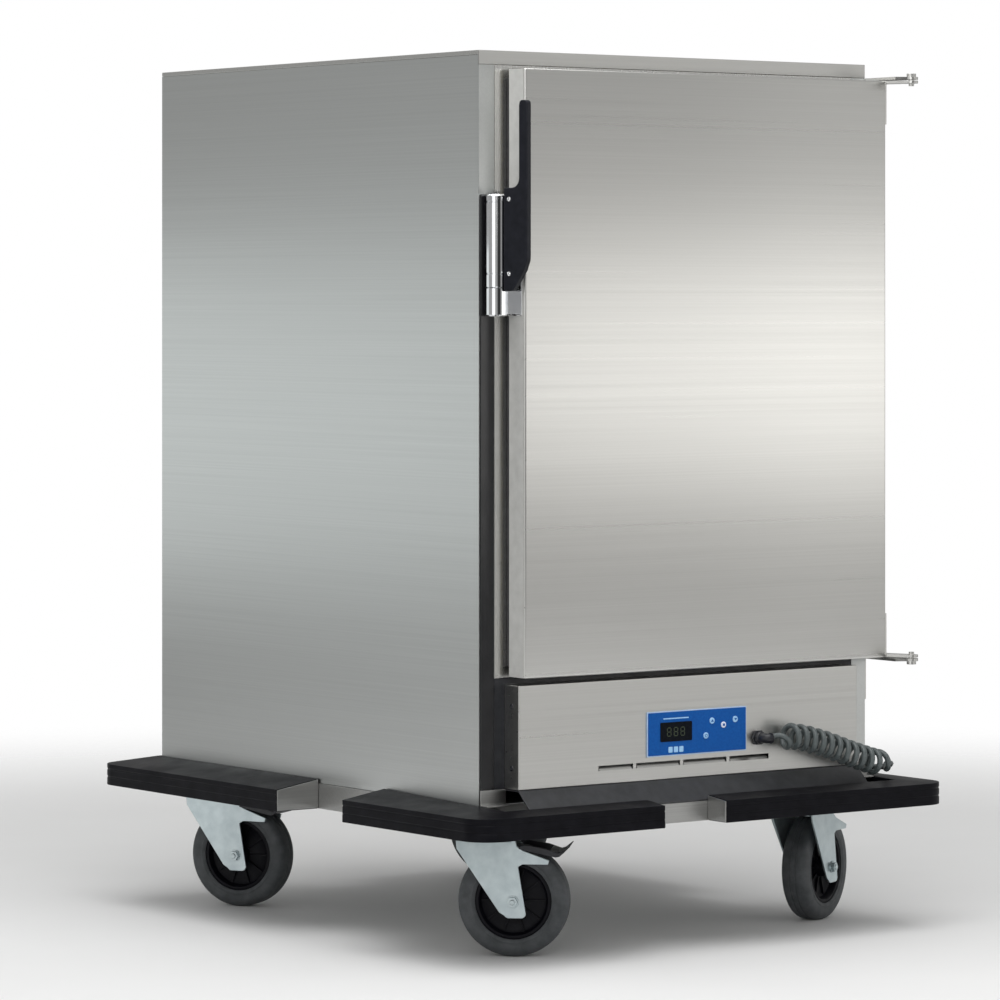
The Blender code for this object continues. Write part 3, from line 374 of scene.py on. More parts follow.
def camera():
    """Level camera at the left front, with a vertical shift."""
    data = bpy.data.cameras.new("camera")
    data.sensor_width = 36.0
    data.lens = CAMERA_LENS
    data.shift_y = CAMERA_SHIFT
    data.clip_end = 200.0
    obj = new_object("camera", data)
    obj.location = CAMERA_PLACE
    obj.rotation_euler = (radians(90), 0, CAMERA_HEADING)
    bpy.context.scene.camera = obj


def area_light(name, place, target, width, height, power, colour):
    """A rectangular lamp at a place, turned to a target, that the camera doesn't see."""
    data = bpy.data.lights.new(name, "AREA")
    data.shape = "RECTANGLE"
    data.size = width
    data.size_y = height
    data.energy = power
    data.color = colour
    obj = new_object(name, data)
    obj.location = place
    obj.rotation_euler = (Vector(target) - Vector(place)).to_track_quat("-Z", "Y").to_euler()
    obj.visible_camera = False


def smooth_step(tree, value, limits, before, after):
    """Goes smoothly from one level to another as a value passes between two limits."""
    return node(tree, "MapRange", {"Value": value, "From Min": limits[0], "From Max": limits[1],
                                   "To Min": before, "To Max": after},
                interpolation_type="SMOOTHSTEP").outputs["Result"]


def cone(tree, direction, middle, edge, outside, inside):
    """One level outside a cone of directions, another inside it, and a soft edge between them."""
    near = node(tree, "VectorMath", {0: direction, 1: middle}, operation="DOT_PRODUCT").outputs["Value"]
    return smooth_step(tree, near, edge, outside, inside)


def studio_floor():
    """Pale floor that fades out into the background."""
    bm = bmesh.new()
    bmesh.ops.create_circle(bm, cap_ends=True, segments=96, radius=FLOOR_R)
    mesh = bpy.data.meshes.new("floor")
    bm.to_mesh(mesh)
    bm.free()
    floor = new_object("floor", mesh)
    paint = material("floor_paint", ((0.80, 0.80, 0.80), (0.82, 0.82, 0.82)), (0.7, 0.8), 0.0, 2.0)
    tree = paint.node_tree
    place = node(tree, "TexCoord").outputs["Object"]
    away = node(tree, "VectorMath", {0: place}, operation="LENGTH").outputs["Value"]
    shown = smooth_step(tree, away, [FLOOR_R * part for part in FLOOR_FADE], 1.0, 0.0)
    tree.links.new(shown, tree.nodes["Principled BSDF"].inputs["Alpha"])
    mesh.materials.append(paint)


def studio_world():
    """White for the camera. For the rest a soft grey room, darker below, with one dark flag and one
    bright window for the chrome."""
    world = bpy.data.worlds.new("studio")
    bpy.context.scene.world = world
    world.use_nodes = True
    tree = world.node_tree
    background = tree.nodes["Background"]
    direction = node(tree, "TexCoord").outputs["Generated"]
    up = node(tree, "SeparateXYZ", {0: direction}).outputs["Z"]
    height = node(tree, "MapRange", {"Value": up, "From Min": -ROOM_BLEND,
                                     "From Max": ROOM_BLEND}).outputs["Result"]
    room = ramp(tree, height, ROOM_LOW, ROOM_HIGH, 0.15, 0.85)
    flag = cone(tree, direction, FLAG_DIRECTION, FLAG_EDGE, 1.0, FLAG_LEVEL)
    room = node(tree, "VectorMath", {0: room, 3: flag}, operation="SCALE").outputs["Vector"]
    glow = cone(tree, direction, WINDOW_DIRECTION, WINDOW_EDGE, 0.0, WINDOW_LEVEL)
    room = node(tree, "VectorMath", {0: room, 1: glow}, operation="ADD").outputs["Vector"]
    seen = node(tree, "LightPath").outputs["Is Camera Ray"]
    mix = node(tree, "MixRGB", {"Fac": seen, "Color1": room, "Color2": (1.0, 1.0, 1.0, 1)})
    tree.links.new(mix.outputs["Color"], background.inputs["Color"])
    background.inputs["Strength"].default_value = 1.0


def studio():
    """Floor, room, a soft band for each visible panel to mirror, two fills and a large soft top light."""
    studio_floor()
    studio_world()
    for light in LIGHTS:
        area_light(*light)
    bpy.context.scene.view_settings.view_transform = "Standard"


# ---- cord ----
CORD_R = 0.0042
COIL_R = 0.0200
HELIX_PITCH = 0.0150
HELIX_STEP = 0.0006              # between two points, along the route
HELIX_LEAD = 0.0330              # the coil grows to its full radius along this much of the route
LEAD_SPEED = 70.0                # turning in the lead, radians per metre
TURN_START, TURN_SPAN = 0.7, 0.5    # where full turning sets in, as parts of the lead
GLAND_Y = -0.4537                # the gland's nose and the start of the cord
COIL_ROUTE = (
    (0.1240, GLAND_Y, 0.2960), (0.1700, -0.4570, 0.2965), (0.2200, -0.4640, 0.2840),
    (0.2700, -0.4700, 0.2660), (0.3200, -0.4700, 0.2510), (0.3545, -0.4570, 0.2470))
TAIL_ROUTE = (
    (0.3553, -0.4566, 0.2469), (0.3680, -0.4470, 0.2440), (0.3790, -0.4250, 0.2380),
    (0.3880, -0.3950, 0.2340), (0.3980, -0.3450, 0.2310), (0.3975, -0.2950, 0.2370),
    (0.3970, -0.2700, 0.2430), (0.3970, -0.2600, 0.2430))


def along(points):
    """Distance from the start at each point."""
    out = [0.0]
    for a, b in zip(points, points[1:]):
        out.append(out[-1] + (b - a).length)
    return out


def ease(value):
    """A smooth step from 0 to 1."""
    value = min(1.0, max(0.0, value))
    return value * value * (3 - 2 * value)


def helix_points():
    """The cord's line: straight at each end of the coil's route, and close turns round it between them."""
    line = through(COIL_ROUTE, 40)
    at = along(line)
    total = at[-1]
    count = round(total / HELIX_STEP)
    side, angle, index = Vector((0, 0, 1)), 0.0, 0
    out = []
    for i in range(count + 1):
        goal = total * i / count
        while index < len(at) - 2 and at[index + 1] < goal:
            index += 1
        middle = line[index].lerp(line[index + 1], (goal - at[index]) / (at[index + 1] - at[index]))
        tangent = (line[index + 1] - line[index]).normalized()
        side = (side - tangent * side.dot(tangent)).normalized()
        other = tangent.cross(side)
        end = min(goal, total - goal)
        radius = (COIL_R - CORD_R) * ease(end / HELIX_LEAD)
        out.append(middle + (side * cos(angle) + other * sin(angle)) * radius)
        full = ease((end - TURN_START * HELIX_LEAD) / (TURN_SPAN * HELIX_LEAD))
        speed = LEAD_SPEED + (2 * pi / HELIX_PITCH - LEAD_SPEED) * full
        angle += speed * total / count
    return out


def power_cord():
    """The coil, and the tail that ends in the plug."""
    points = helix_points()[:-1] + through(TAIL_ROUTE, 6)[1:]
    cord = tube("power_cord", points, CORD_R, CORD, "carcass", ("cord_coil", "cord_tail"))
    plug = mains_plug()


def mains_plug():
    """Moulded round plug with a ribbed tail and two pins."""
    low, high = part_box("mains_plug")
    x, z = (low.x + high.x) / 2, (low.z + high.z) / 2
    matrix = facing((x, low.y, z), (0, 1, 0))
    length, radius = high.y - low.y, (high.x - low.x) / 2
    bm = bmesh.new()
    profile = [(0, 0), (0.0062, 0)]
    for rib in range(5):
        base, grow = 0.0022 + rib * 0.0044, rib * 0.0006
        profile += [(0.0068 + grow, base), (0.0068 + grow, base + 0.0020),
                    (0.0056 + grow, base + 0.0026), (0.0056 + grow, base + 0.0040)]
    profile += [(0.0130, length - 0.0230), (radius - 0.0016, length - 0.0175), (radius, length - 0.0150),
                (radius, length - 0.0016), (radius - 0.0016, length), (0, length)]
    add_lathe(bm, profile, matrix, 48)
    body = piece("mains_plug_body", bm, BLACK, "carcass", ("mains_plug",), 40)
    bm = bmesh.new()
    for side in (-0.0095, 0.0095):
        pin = matrix @ Matrix.Translation((side, 0, length - 0.001))
        add_lathe(bm, [(0, 0), (0.0024, 0), (0.0024, 0.0180), (0.0016, 0.0195), (0, 0.0200)], pin, 24)
    pins = piece("mains_plug_pins", bm, CHROME, "carcass")
    return [body, pins]


def cable_gland():
    """Hexagonal base, bent neck and a ribbed, tapered nose."""
    low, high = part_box("cable_gland")
    z = (low.z + high.z) / 2
    x = low.x + 0.0110
    wall = facing((x, high.y, z), (0, -1, 0))
    bm = bmesh.new()
    add_prism(bm, hexagon(0.0118), 0, 0.0050, wall)
    add_lathe(bm, [(0, 0.004), (0.0092, 0.004), (0.0092, 0.0100), (0.0080, 0.0118), (0, 0.0118)], wall, 32)
    piece("gland_base", bm, BLACK, "carcass", (), 30, 0.0006)
    turn = 0.009
    bend = [(x, high.y - 0.0100)] + arc(x + turn, GLAND_Y + turn, turn, 180, 270, 7)
    tube("gland_elbow", [(px, py, z) for px, py in bend], 0.0074, BLACK, "carcass")
    start = bend[-1][0] - 0.0010
    length = high.x - 0.0090 - start
    profile = [(0, 0)]
    ribs = 3
    step = length / ribs
    for rib in range(ribs):
        base, radius = rib * step, 0.0082 - rib * 0.0006
        profile += [(radius, base + 0.0001), (radius, base + step * 0.55),
                    (radius - 0.0010, base + step * 0.60), (radius - 0.0010, base + step * 0.98)]
    profile += [(0.0048, length), (0, length)]
    bm = bmesh.new()
    add_lathe(bm, profile, facing((start, GLAND_Y, z), (1, 0, 0)), 40)
    piece("gland_nose", bm, BLACK, "carcass", ("cable_gland",), 40)


# ---- castors ----
WHEEL_R = 0.0800
RIM_R = 0.0550
FORK_IN = 0.0265
FORK_SHEET = 0.0035
FORK_OUT = FORK_IN + FORK_SHEET
CROWN_Z = 0.1640
CHASSIS_Z = 0.1805               # underside of the chassis
BOLT_X, BOLT_Y = 0.0420, 0.0320    # from the swivel axis to each bolt
LEG_CREASE = (Vector((0.0270, 0.0565, 0)), Vector((0.0160, CROWN_Z, 0)))    # low and high end
LEG_LEAN = 0.09                  # slope of a leg's part behind the crease
SPOKES = 10


def castor(corner):
    """One swivel castor, at the heading that its joints give, with a brake on two of the four."""
    swivel = Vector(JOINTS["swivel_" + corner]["pos_m"])
    hub = Vector(JOINTS["roll_" + corner]["pos_m"])
    heading = atan2(hub.y - swivel.y, hub.x - swivel.x)
    trail = (hub.xy - swivel.xy).length
    base = Matrix.Translation((swivel.x, swivel.y, 0)) @ Matrix.Rotation(heading, 4, "Z")
    upright = base @ STANDING
    castor_bolts(corner, swivel)
    castor_fork(corner, base, upright, trail)
    castor_wheel(corner, hub, base)
    if corner in BRAKED:
        brake_pedal(corner, base, upright)


def castor_bolts(corner, swivel):
    """Four bolt ends under the chassis, each with a washer and a nut."""
    bm = bmesh.new()
    for sx in (-1, 1):
        for sy in (-1, 1):
            place = Matrix.Translation((swivel.x + sx * BOLT_X, swivel.y + sy * BOLT_Y, CHASSIS_Z))
            at = place @ Matrix.Diagonal((1, 1, -1, 1))
            add_lathe(bm, [(0, 0), (0.0082, 0), (0.0082, 0.0012), (0, 0.0012)], at, 24)
            add_prism(bm, hexagon(0.0068), 0.0010, 0.0060, at)
            add_lathe(bm, [(0, 0.0055), (0.0038, 0.0055), (0.0038, 0.0085), (0.0030, 0.0092), (0, 0.0092)],
                      at, 16)
    piece("castor_bolts_" + corner, bm, ZINC, "carcass", (), 30, 0.0004)


def add_fork_leg(bm, outline, side):
    """A plate whose rear part, past a slanted crease, leans outwards."""
    leg = bmesh.new()
    leg.faces.new([leg.verts.new((x, z, 0)) for x, z in outline])
    crease_low, crease_high = LEG_CREASE
    line = (crease_high - crease_low).normalized()
    out = Vector((-line.y, line.x, 0))
    whole = leg.verts[:] + leg.edges[:] + leg.faces[:]
    bmesh.ops.bisect_plane(leg, geom=whole, plane_co=crease_low, plane_no=out)
    for vert in leg.verts:
        beyond = max(0.0, (vert.co - crease_low).dot(out))
        vert.co.z = side * (FORK_IN + beyond * LEG_LEAN)
    grown = bmesh.ops.extrude_face_region(leg, geom=leg.faces[:])
    for vert in [v for v in grown["geom"] if isinstance(v, bmesh.types.BMVert)]:
        vert.co.z += side * FORK_SHEET
    mesh = bpy.data.meshes.new("fork_leg")
    leg.to_mesh(mesh)
    leg.free()
    bm.from_mesh(mesh)
    bpy.data.meshes.remove(mesh)


def castor_fork(corner, base, upright, trail):
    """Two creased legs, a crown plate, a ball race, and the axle with a nut at each end."""
    body = "castor_" + corner
    leg = [(-0.0390, CROWN_Z + 0.0036), (-0.0380, 0.1560), (0.0225, 0.0650)]
    leg += arc(trail - 0.0050, 0.0655, 0.0090, 215, 270, 5)
    leg += arc(trail + 0.0120, 0.0635, 0.0070, 270, 352, 6)
    leg += [(0.0500, 0.1300), (0.0560, 0.1335), (0.0925, 0.1335), (0.0945, 0.1400), (0.0560, 0.1540),
            (0.0480, 0.1600), (0.0460, CROWN_Z + 0.0036)]
    bm = bmesh.new()
    for side in (-1, 1):
        add_fork_leg(bm, leg, side)
    bmesh.ops.transform(bm, matrix=upright, verts=bm.verts)
    piece("fork_legs_" + corner, bm, ZINC, body, ("castor_fork_" + corner,), 20, 0.0009)

    bm = bmesh.new()
    plate = rounded_rect(-0.0390, -FORK_OUT, 0.0460, FORK_OUT, 0.0060)
    add_prism(bm, plate, CROWN_Z, CROWN_Z + 0.0034, base)
    piece("fork_crown_" + corner, bm, ZINC, body, (), 30, 0.0008)
    bm = bmesh.new()
    race = [(0, 0.1670), (0.0340, 0.1670), (0.0362, 0.1682), (0.0362, 0.1712), (0.0335, 0.1722),
            (0.0335, 0.1734), (0.0370, 0.1744), (0.0370, 0.1776), (0.0345, 0.1792), (0, 0.1792)]
    add_lathe(bm, race, base, 56)
    piece("fork_race_" + corner, bm, ZINC, body, (), 40)

    bm = bmesh.new()
    axle = base @ Matrix.Translation((trail, 0, WHEEL_R)) @ Matrix.Rotation(radians(-90), 4, "X")
    end = FORK_OUT + 0.0010
    add_lathe(bm, [(0, -end), (0.0058, -end), (0.0058, end), (0, end)], axle, 24)
    for side in (1, -1):
        nut = axle @ Matrix.Diagonal((1, 1, side, 1)) @ Matrix.Translation((0, 0, FORK_OUT))
        add_lathe(bm, [(0, 0), (0.0090, 0), (0.0090, 0.0012), (0, 0.0012)], nut, 28)
        add_prism(bm, hexagon(0.0078), 0.0010, 0.0058, nut)
        add_lathe(bm, [(0, 0.005), (0.0040, 0.005), (0.0040, 0.0068), (0.0030, 0.0074), (0, 0.0074)], nut, 20)
    piece("axle_" + corner, bm, ZINC, body, (), 30, 0.0003)


def castor_wheel(corner, hub, base):
    """Grey tyre with a shouldered side and two grooves, on a black rim with a recessed, ribbed web."""
    turn = base.to_3x3().to_4x4() @ Matrix.Rotation(radians(-90), 4, "X")
    place = Matrix.Translation(hub) @ turn
    body = "wheel_" + corner
    side = [(RIM_R, 0.0196), (0.0572, 0.0208), (0.0600, 0.0217), (0.0612, 0.0211), (0.0640, 0.0214),
            (0.0690, 0.0212)]
    side += arc(0.0690, 0.0102, 0.0110, 75, 15, 5)
    side += [(WHEEL_R, 0.0075), (WHEEL_R, 0.0060), (WHEEL_R - 0.0010, 0.0052), (WHEEL_R - 0.0010, 0.0040),
             (WHEEL_R, 0.0032)]
    bm = bmesh.new()
    add_lathe(bm, side + [(r, -h) for r, h in reversed(side)], place, 96, True)
    piece("tyre_" + corner, bm, TYRE, body, ("castor_tyre_" + corner,), 40)

    rim_side = [(0.0066, FORK_IN - 0.0012), (0.0120, FORK_IN - 0.0012), (0.0138, FORK_IN - 0.0024),
                (0.0145, 0.0200), (0.0160, 0.0085), (0.0200, 0.0060), (0.0420, 0.0060), (0.0465, 0.0085),
                (0.0490, 0.0175), (0.0500, 0.0186), (0.0535, 0.0188), (RIM_R - 0.0002, 0.0180)]
    bm = bmesh.new()
    add_lathe(bm, rim_side + [(r, -h) for r, h in reversed(rim_side)], place, 72, True)
    for i in range(SPOKES):
        for mirror in (1, -1):
            spoke = place @ Matrix.Rotation(2 * pi * i / SPOKES, 4, "Z") @ Matrix.Diagonal((1, 1, mirror, 1))
            add_box(bm, (0.0140, -0.0010, 0.0050), (0.0485, 0.0010, 0.0095), spoke)
    piece("rim_" + corner, bm, RIM, body, ("castor_rim_" + corner,), 35)


def brake_pedal(corner, base, upright):
    """Black pedal with an arm on each side of the fork, and a foot plate that turns up at its tip."""
    top = [(0.0510, 0.1590), (0.0600, 0.1615), (0.0700, 0.1605), (0.0900, 0.1570), (0.1075, 0.1510),
           (0.1130, 0.1525), (0.1240, 0.1612)]
    bottom = [(0.1246, 0.1600), (0.1150, 0.1505), (0.1090, 0.1455), (0.1040, 0.1445), (0.0960, 0.1460),
              (0.0560, 0.1550), (0.0510, 0.1560)]
    arm_in, arm_out = FORK_OUT + 0.0010, FORK_OUT + 0.0040
    bm = bmesh.new()
    add_prism(bm, top + bottom, -arm_out, arm_out, upright)
    pedal = piece("brake_pedal_plate_" + corner, bm, BLACK, "brake_" + corner,
                  ("brake_pedal_" + corner,), 30)
    gap = bmesh.new()
    add_box(gap, (0.0, -arm_in, 0.1), (0.0960, arm_in, 0.2), base)
    cut_with(pedal, gap)
    rounded(pedal, 0.0008)


# ---- heating and control unit ----
SLOT_ENDS = (-0.1755, -0.1070, -0.0204, 0.0662, 0.1460)    # X of the row's ends and its bridges
SLOT_BRIDGE = 0.0055             # left between two slots
SLOT_LOW, SLOT_HIGH = 0.2640, 0.2715
SLOTS = [(x0 + SLOT_BRIDGE / 2, x1 - SLOT_BRIDGE / 2) for x0, x1 in zip(SLOT_ENDS, SLOT_ENDS[1:])]


def shell(name, low, high, edge, body, replaces):
    """A folded sheet cover: a box with an open back, rounded folds and a sheet's thickness."""
    bm = bmesh.new()
    add_box(bm, low, high)
    gone = [face for face in bm.faces if face.normal.y > 0.9]
    bmesh.ops.delete(bm, geom=gone, context="FACES_ONLY")
    folds = [e for e in bm.edges if len(e.link_faces) == 2]
    bmesh.ops.bevel(bm, geom=folds, offset=edge, segments=5, profile=0.5, affect="EDGES", clamp_overlap=True)
    obj = piece(name, bm, FRONT_STEEL, body, replaces, 40)
    skin = obj.modifiers.new("sheet", "SOLIDIFY")
    skin.thickness = SHEET
    skin.offset = -1
    return obj


def control_unit():
    """Cover with vent slots, louvres behind them, and the cover's screws."""
    low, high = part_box("control_housing")
    cover = shell("control_cover", low, high, 0.0014, "carcass", ("control_housing",))
    holes = bmesh.new()
    for left, right in SLOTS:
        add_box(holes, (left, low.y - 0.01, SLOT_LOW), (right, low.y + 0.01, SLOT_HIGH))
    cut_with(cover, holes)

    # the louvres leave a dark gap along the top and at each end of their slots
    section = [(low.y - 0.0002, SLOT_LOW - 0.0002), (low.y + 0.0040, SLOT_HIGH - 0.0022),
               (low.y + 0.0052, SLOT_HIGH - 0.0024), (low.y + 0.0014, SLOT_LOW - 0.0002)]
    bm = bmesh.new()
    for left, right in SLOTS:
        add_prism(bm, section, left + 0.0022, right - 0.0022, ALONG_X)
    piece("vent_louvres", bm, FRONT_STEEL, "carcass")

    bm = bmesh.new()
    for x in (low.x, high.x):
        side = 1 if x > 0 else -1
        for z in (low.z + 0.030, high.z - 0.030):
            add_screw(bm, facing((x - side * 0.0001, (low.y + high.y) / 2, z), (side, 0, 0)), 0.0040, 0.0018)
    piece("cover_screws", bm, BLACK, "carcass")


def control_panel():
    """Blue film with a pale border, a display and generic marks."""
    low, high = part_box("control_panel")
    face = low.y
    border = 0.0016
    bm = bmesh.new()
    add_plate(bm, (low.x, low.z, high.x, high.z), 0.0022, face + 0.0006, high.y)
    piece("panel_border", bm, BORDER, "carcass", ("control_panel",), 30, 0.0003)
    bm = bmesh.new()
    add_plate(bm, (low.x + border, low.z + border, high.x - border, high.z - border), 0.0014,
              face, face + 0.0005)
    piece("panel_film", bm, BLUE, "carcass", (), 30, 0.0002)

    glass_low, glass_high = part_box("display_window")
    bm = bmesh.new()
    add_plate(bm, (glass_low.x, glass_low.z, glass_high.x, glass_high.z), 0.0016,
              face - 0.0008, face - 0.0001)
    piece("display_pane", bm, GLASS, "carcass", ("display_window",), 30, 0.0003)
    bm = bmesh.new()
    for digit in range(3):
        add_digit(bm, glass_low.x + 0.0120 + digit * 0.0125, glass_low.z + 0.0075, face - 0.0010)
    piece("display_digits", bm, DIGITS, "carcass")

    bm = bmesh.new()
    width = glass_high.x - glass_low.x
    line = (glass_low.x + 0.10 * width, glass_high.z + 0.0045,
            glass_high.x - 0.10 * width, glass_high.z + 0.0062)
    add_plate(bm, line, 0.0006, face - 0.0002, face + 0.0001)
    for bar in range(3):
        start = glass_low.x + 0.26 * width + bar * 0.17 * width
        add_plate(bm, (start, low.z + 0.0048, start + 0.13 * width, low.z + 0.0132), 0.0012,
                  face - 0.0002, face + 0.0001)
    piece("panel_bars", bm, MARKS, "carcass")
    for name, mark in (("key_up", "up"), ("key_down", "down"), ("key_set", "square"), ("key_power", "ring")):
        panel_key(name, mark, face)


def add_plate(bm, corners, radius, front, back, count=6):
    """A rounded plate on the cabinet's front, from its corners' x0, z0, x1, z1."""
    add_prism(bm, rounded_rect(*corners, radius, count), front, back, ON_FRONT)


def add_digit(bm, x, z, y):
    """An unlit seven-segment digit."""
    width, height, bar = 0.0080, 0.0130, 0.0012
    half = height / 2
    across = [(x + bar, z + level, x + width - bar, z + level + bar)
              for level in (0, half - bar / 2, height - bar)]
    upright = [(x + side, z + start + bar, x + side + bar, z + start + half - bar / 2)
               for side in (0, width - bar) for start in (0, half - bar / 2)]
    for corners in across + upright:
        add_plate(bm, corners, bar * 0.45, y, y + 0.0003, 3)


def panel_key(name, mark, face):
    """A low, pale domed key, with a blue mark on it."""
    low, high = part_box(name)
    x, z = (low.x + high.x) / 2, (low.z + high.z) / 2
    radius = (high.x - low.x) / 2
    top = 0.0012
    bm = bmesh.new()
    add_lathe(bm, [(0, -0.0010), (radius, -0.0010), (radius, top - 0.0005), (radius - 0.0005, top),
                   (0, top + 0.0002)], facing((x, face, z), (0, -1, 0)), 40)
    piece(name + "_cap", bm, PALE_MARK if mark == "square" else MARKS, name + "_body", (name,), 40)
    bm = bmesh.new()
    size = radius * 0.55
    shapes = {
        "up": [[(-size, -size * 0.6), (size, -size * 0.6), (0, size * 0.8)]],
        "down": [[(size, size * 0.6), (-size, size * 0.6), (0, -size * 0.8)]],
        "square": [rounded_rect(-size * 0.7, -size * 0.7, size * 0.7, size * 0.7, size * 0.2)],
        "ring": [rounded_rect(-size * 0.12, size * 0.2, size * 0.12, size, size * 0.1)],
    }
    if mark == "ring":
        shapes[mark].append(arc(0, 0, size * 0.9, 125, 415, 18) + arc(0, 0, size * 0.66, 415, 125, 18))
    lift = face - top - 0.0004
    for outline in shapes[mark]:
        add_prism(bm, [(x + px, z + pz) for px, pz in outline], lift, lift + 0.0004, ON_FRONT)
    piece(name + "_mark", bm, BLUE, name + "_body")


# ---- door, latch and hinges ----
LEVER_ANGLE = radians(-75)       # from +X, with the latch closed
LEVER_HALF = 0.0050              # half of the lever's thickness


def door():
    """Folded cover, and a paler, barely metallic strip over its left side face: a painted highlight where the
    steel side catches too little light.
    """
    low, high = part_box("door_skin")
    shell("door_cover", low, high, 0.0028, "door", ("door_skin",))
    # painted highlight: a pale strip laid over the door's left side face
    bm = bmesh.new()
    add_box(bm, (low.x - 0.0006, low.y + 0.0030, low.z + 0.0010), (low.x, high.y - 0.0010, high.z - 0.0010))
    piece("door_side_painted_light_strip", bm, DOOR_SIDE_LIGHT_PAINT, "door", (), 30, 0.0002)


def latch():
    """Chrome barrel on its knuckle, the bracket's plate, and the black lever with its screws."""
    axis = Vector(JOINTS["latch_turn"]["pos_m"])
    low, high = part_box("latch_barrel")
    radius = (high.x - low.x) / 2
    at = Matrix.Translation((axis.x, axis.y, 0))
    seam, top = low.z, high.z
    barrel = [(0.0056, seam), (radius - 0.0012, seam), (radius, seam + 0.0010), (radius, seam + 0.0180),
              (radius - 0.0006, seam + 0.0186), (radius - 0.0006, seam + 0.0202), (radius, seam + 0.0208),
              (radius, top - 0.0120), (radius - 0.0006, top - 0.0114), (radius - 0.0006, top - 0.0102),
              (radius, top - 0.0096), (radius, top - 0.0022), (radius - 0.0022, top), (0, top)]
    bm = bmesh.new()
    add_lathe(bm, barrel + [(0, top - 0.0046), (0.0056, top - 0.0046)], at, 96, True)
    piece("latch_tube", bm, CHROME, "latch", ("latch_barrel",), 30)

    bracket_low, bracket_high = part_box("latch_bracket")
    bm = bmesh.new()
    knuckle_top = seam - 0.0004
    add_lathe(bm, [(0, bracket_low.z), (radius - 0.0020, bracket_low.z), (radius, bracket_low.z + 0.0020),
                   (radius, knuckle_top - 0.0008), (radius - 0.0008, knuckle_top), (0.0050, knuckle_top),
                   (0.0050, top - 0.0060), (0, top - 0.0060)], at, 96)
    piece("latch_knuckle", bm, CHROME, "door", (), 30)
    bm = bmesh.new()
    plate_x = bracket_high.x
    add_box(bm, (plate_x - 0.0020, bracket_low.y, bracket_low.z), (plate_x, -0.4080, bracket_high.z))
    add_box(bm, (axis.x, axis.y - 0.0070, bracket_low.z + 0.0030),
            (plate_x - 0.0010, axis.y + 0.0070, knuckle_top - 0.0036))
    piece("latch_bracket_plate", bm, CHROME, "door", ("latch_bracket",), 30, 0.0005)

    upright = at @ Matrix.Rotation(LEVER_ANGLE, 4, "Z") @ STANDING
    root = radius + 0.0006
    outline = [(root, 0.9500), (0.0320, 0.9510), (0.0400, 0.9610), (0.0525, 0.9800)]
    outline += [(0.0575, 0.9930), (0.0580, 1.0010), (0.0580, 1.2110)] + arc(0.0530, 1.2140, 0.0050, 0, 90, 5)
    outline += [(0.0470, 1.2190), (0.0440, 1.2170), (0.0430, 1.2120), (0.0430, 1.1120)]
    outline += arc(0.0300, 1.1090, 0.0130, 0, -90, 7) + [(root, 1.0960)]
    bm = bmesh.new()
    add_prism(bm, outline, -LEVER_HALF, LEVER_HALF, upright)
    piece("lever_blade", bm, LEVER, "latch", ("latch_lever",), 25, 0.0016, 3)
    bm = bmesh.new()
    for z in (0.9750, 1.0800):
        for side, turn in ((1, 0), (-1, pi)):
            place = upright @ Matrix.Translation((0.0260, z, side * LEVER_HALF))
            add_screw(bm, place @ Matrix.Rotation(turn, 4, "X"), 0.0034, 0.0016)
    piece("lever_screws", bm, CHROME, "latch")


def hinge_screws():
    """Pan heads on the hinges' tabs: node, body, Y of the tab, and whether the tab is at the node's top."""
    for name, body, tab_y, at_top in (
            ("hinge_arm_upper", "carcass", -0.3830, False), ("hinge_arm_lower", "carcass", -0.3830, False),
            ("hinge_leaf_upper", "door", -0.4265, False), ("hinge_leaf_lower", "door", -0.4265, True)):
        low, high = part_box(name)
        bm = bmesh.new()
        for inset in (0.0120, 0.0420):
            z = high.z - inset if at_top else low.z + inset
            add_screw(bm, facing((low.x + 0.0030, tab_y, z), (1, 0, 0)), 0.0048, 0.0022)
        piece(name + "_screws", bm, CHROME, body)


# ---- bumpers ----
HALF_W, HALF_D = CAD_BOX[1].x, CAD_BOX[1].y
BUMPER_GAP = 0.0004              # between a bumper and the chassis
BUMPER_EDGE_Z = 0.2170           # top of the outer face, where the sloped top begins
BUMPER_TOP_SIDE = 0.2288         # top of the slope, at the chassis
BUMPER_TOP_END = {-1: 0.2217, 1: 0.2285}    # the same at the front and at the back
BUMPER_CORNER_R = 0.0400
GROOVE = 0.0009                  # depth of a groove


def bumper_place(corner):
    """Signs of the corner, where the bumper ends on each axis, the chassis walls' distances, the bottom."""
    low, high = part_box("bumper_" + corner)
    chassis_low, chassis_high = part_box("chassis_frame")
    sx = 1 if "right" in corner else -1
    sy = 1 if "rear" in corner else -1
    edges = (low.x if sx > 0 else high.x, low.y if sy > 0 else high.y)
    walls = (chassis_high.x + BUMPER_GAP, (chassis_high.y if sy > 0 else -chassis_low.y) + BUMPER_GAP)
    return sx, sy, edges, walls, low.z


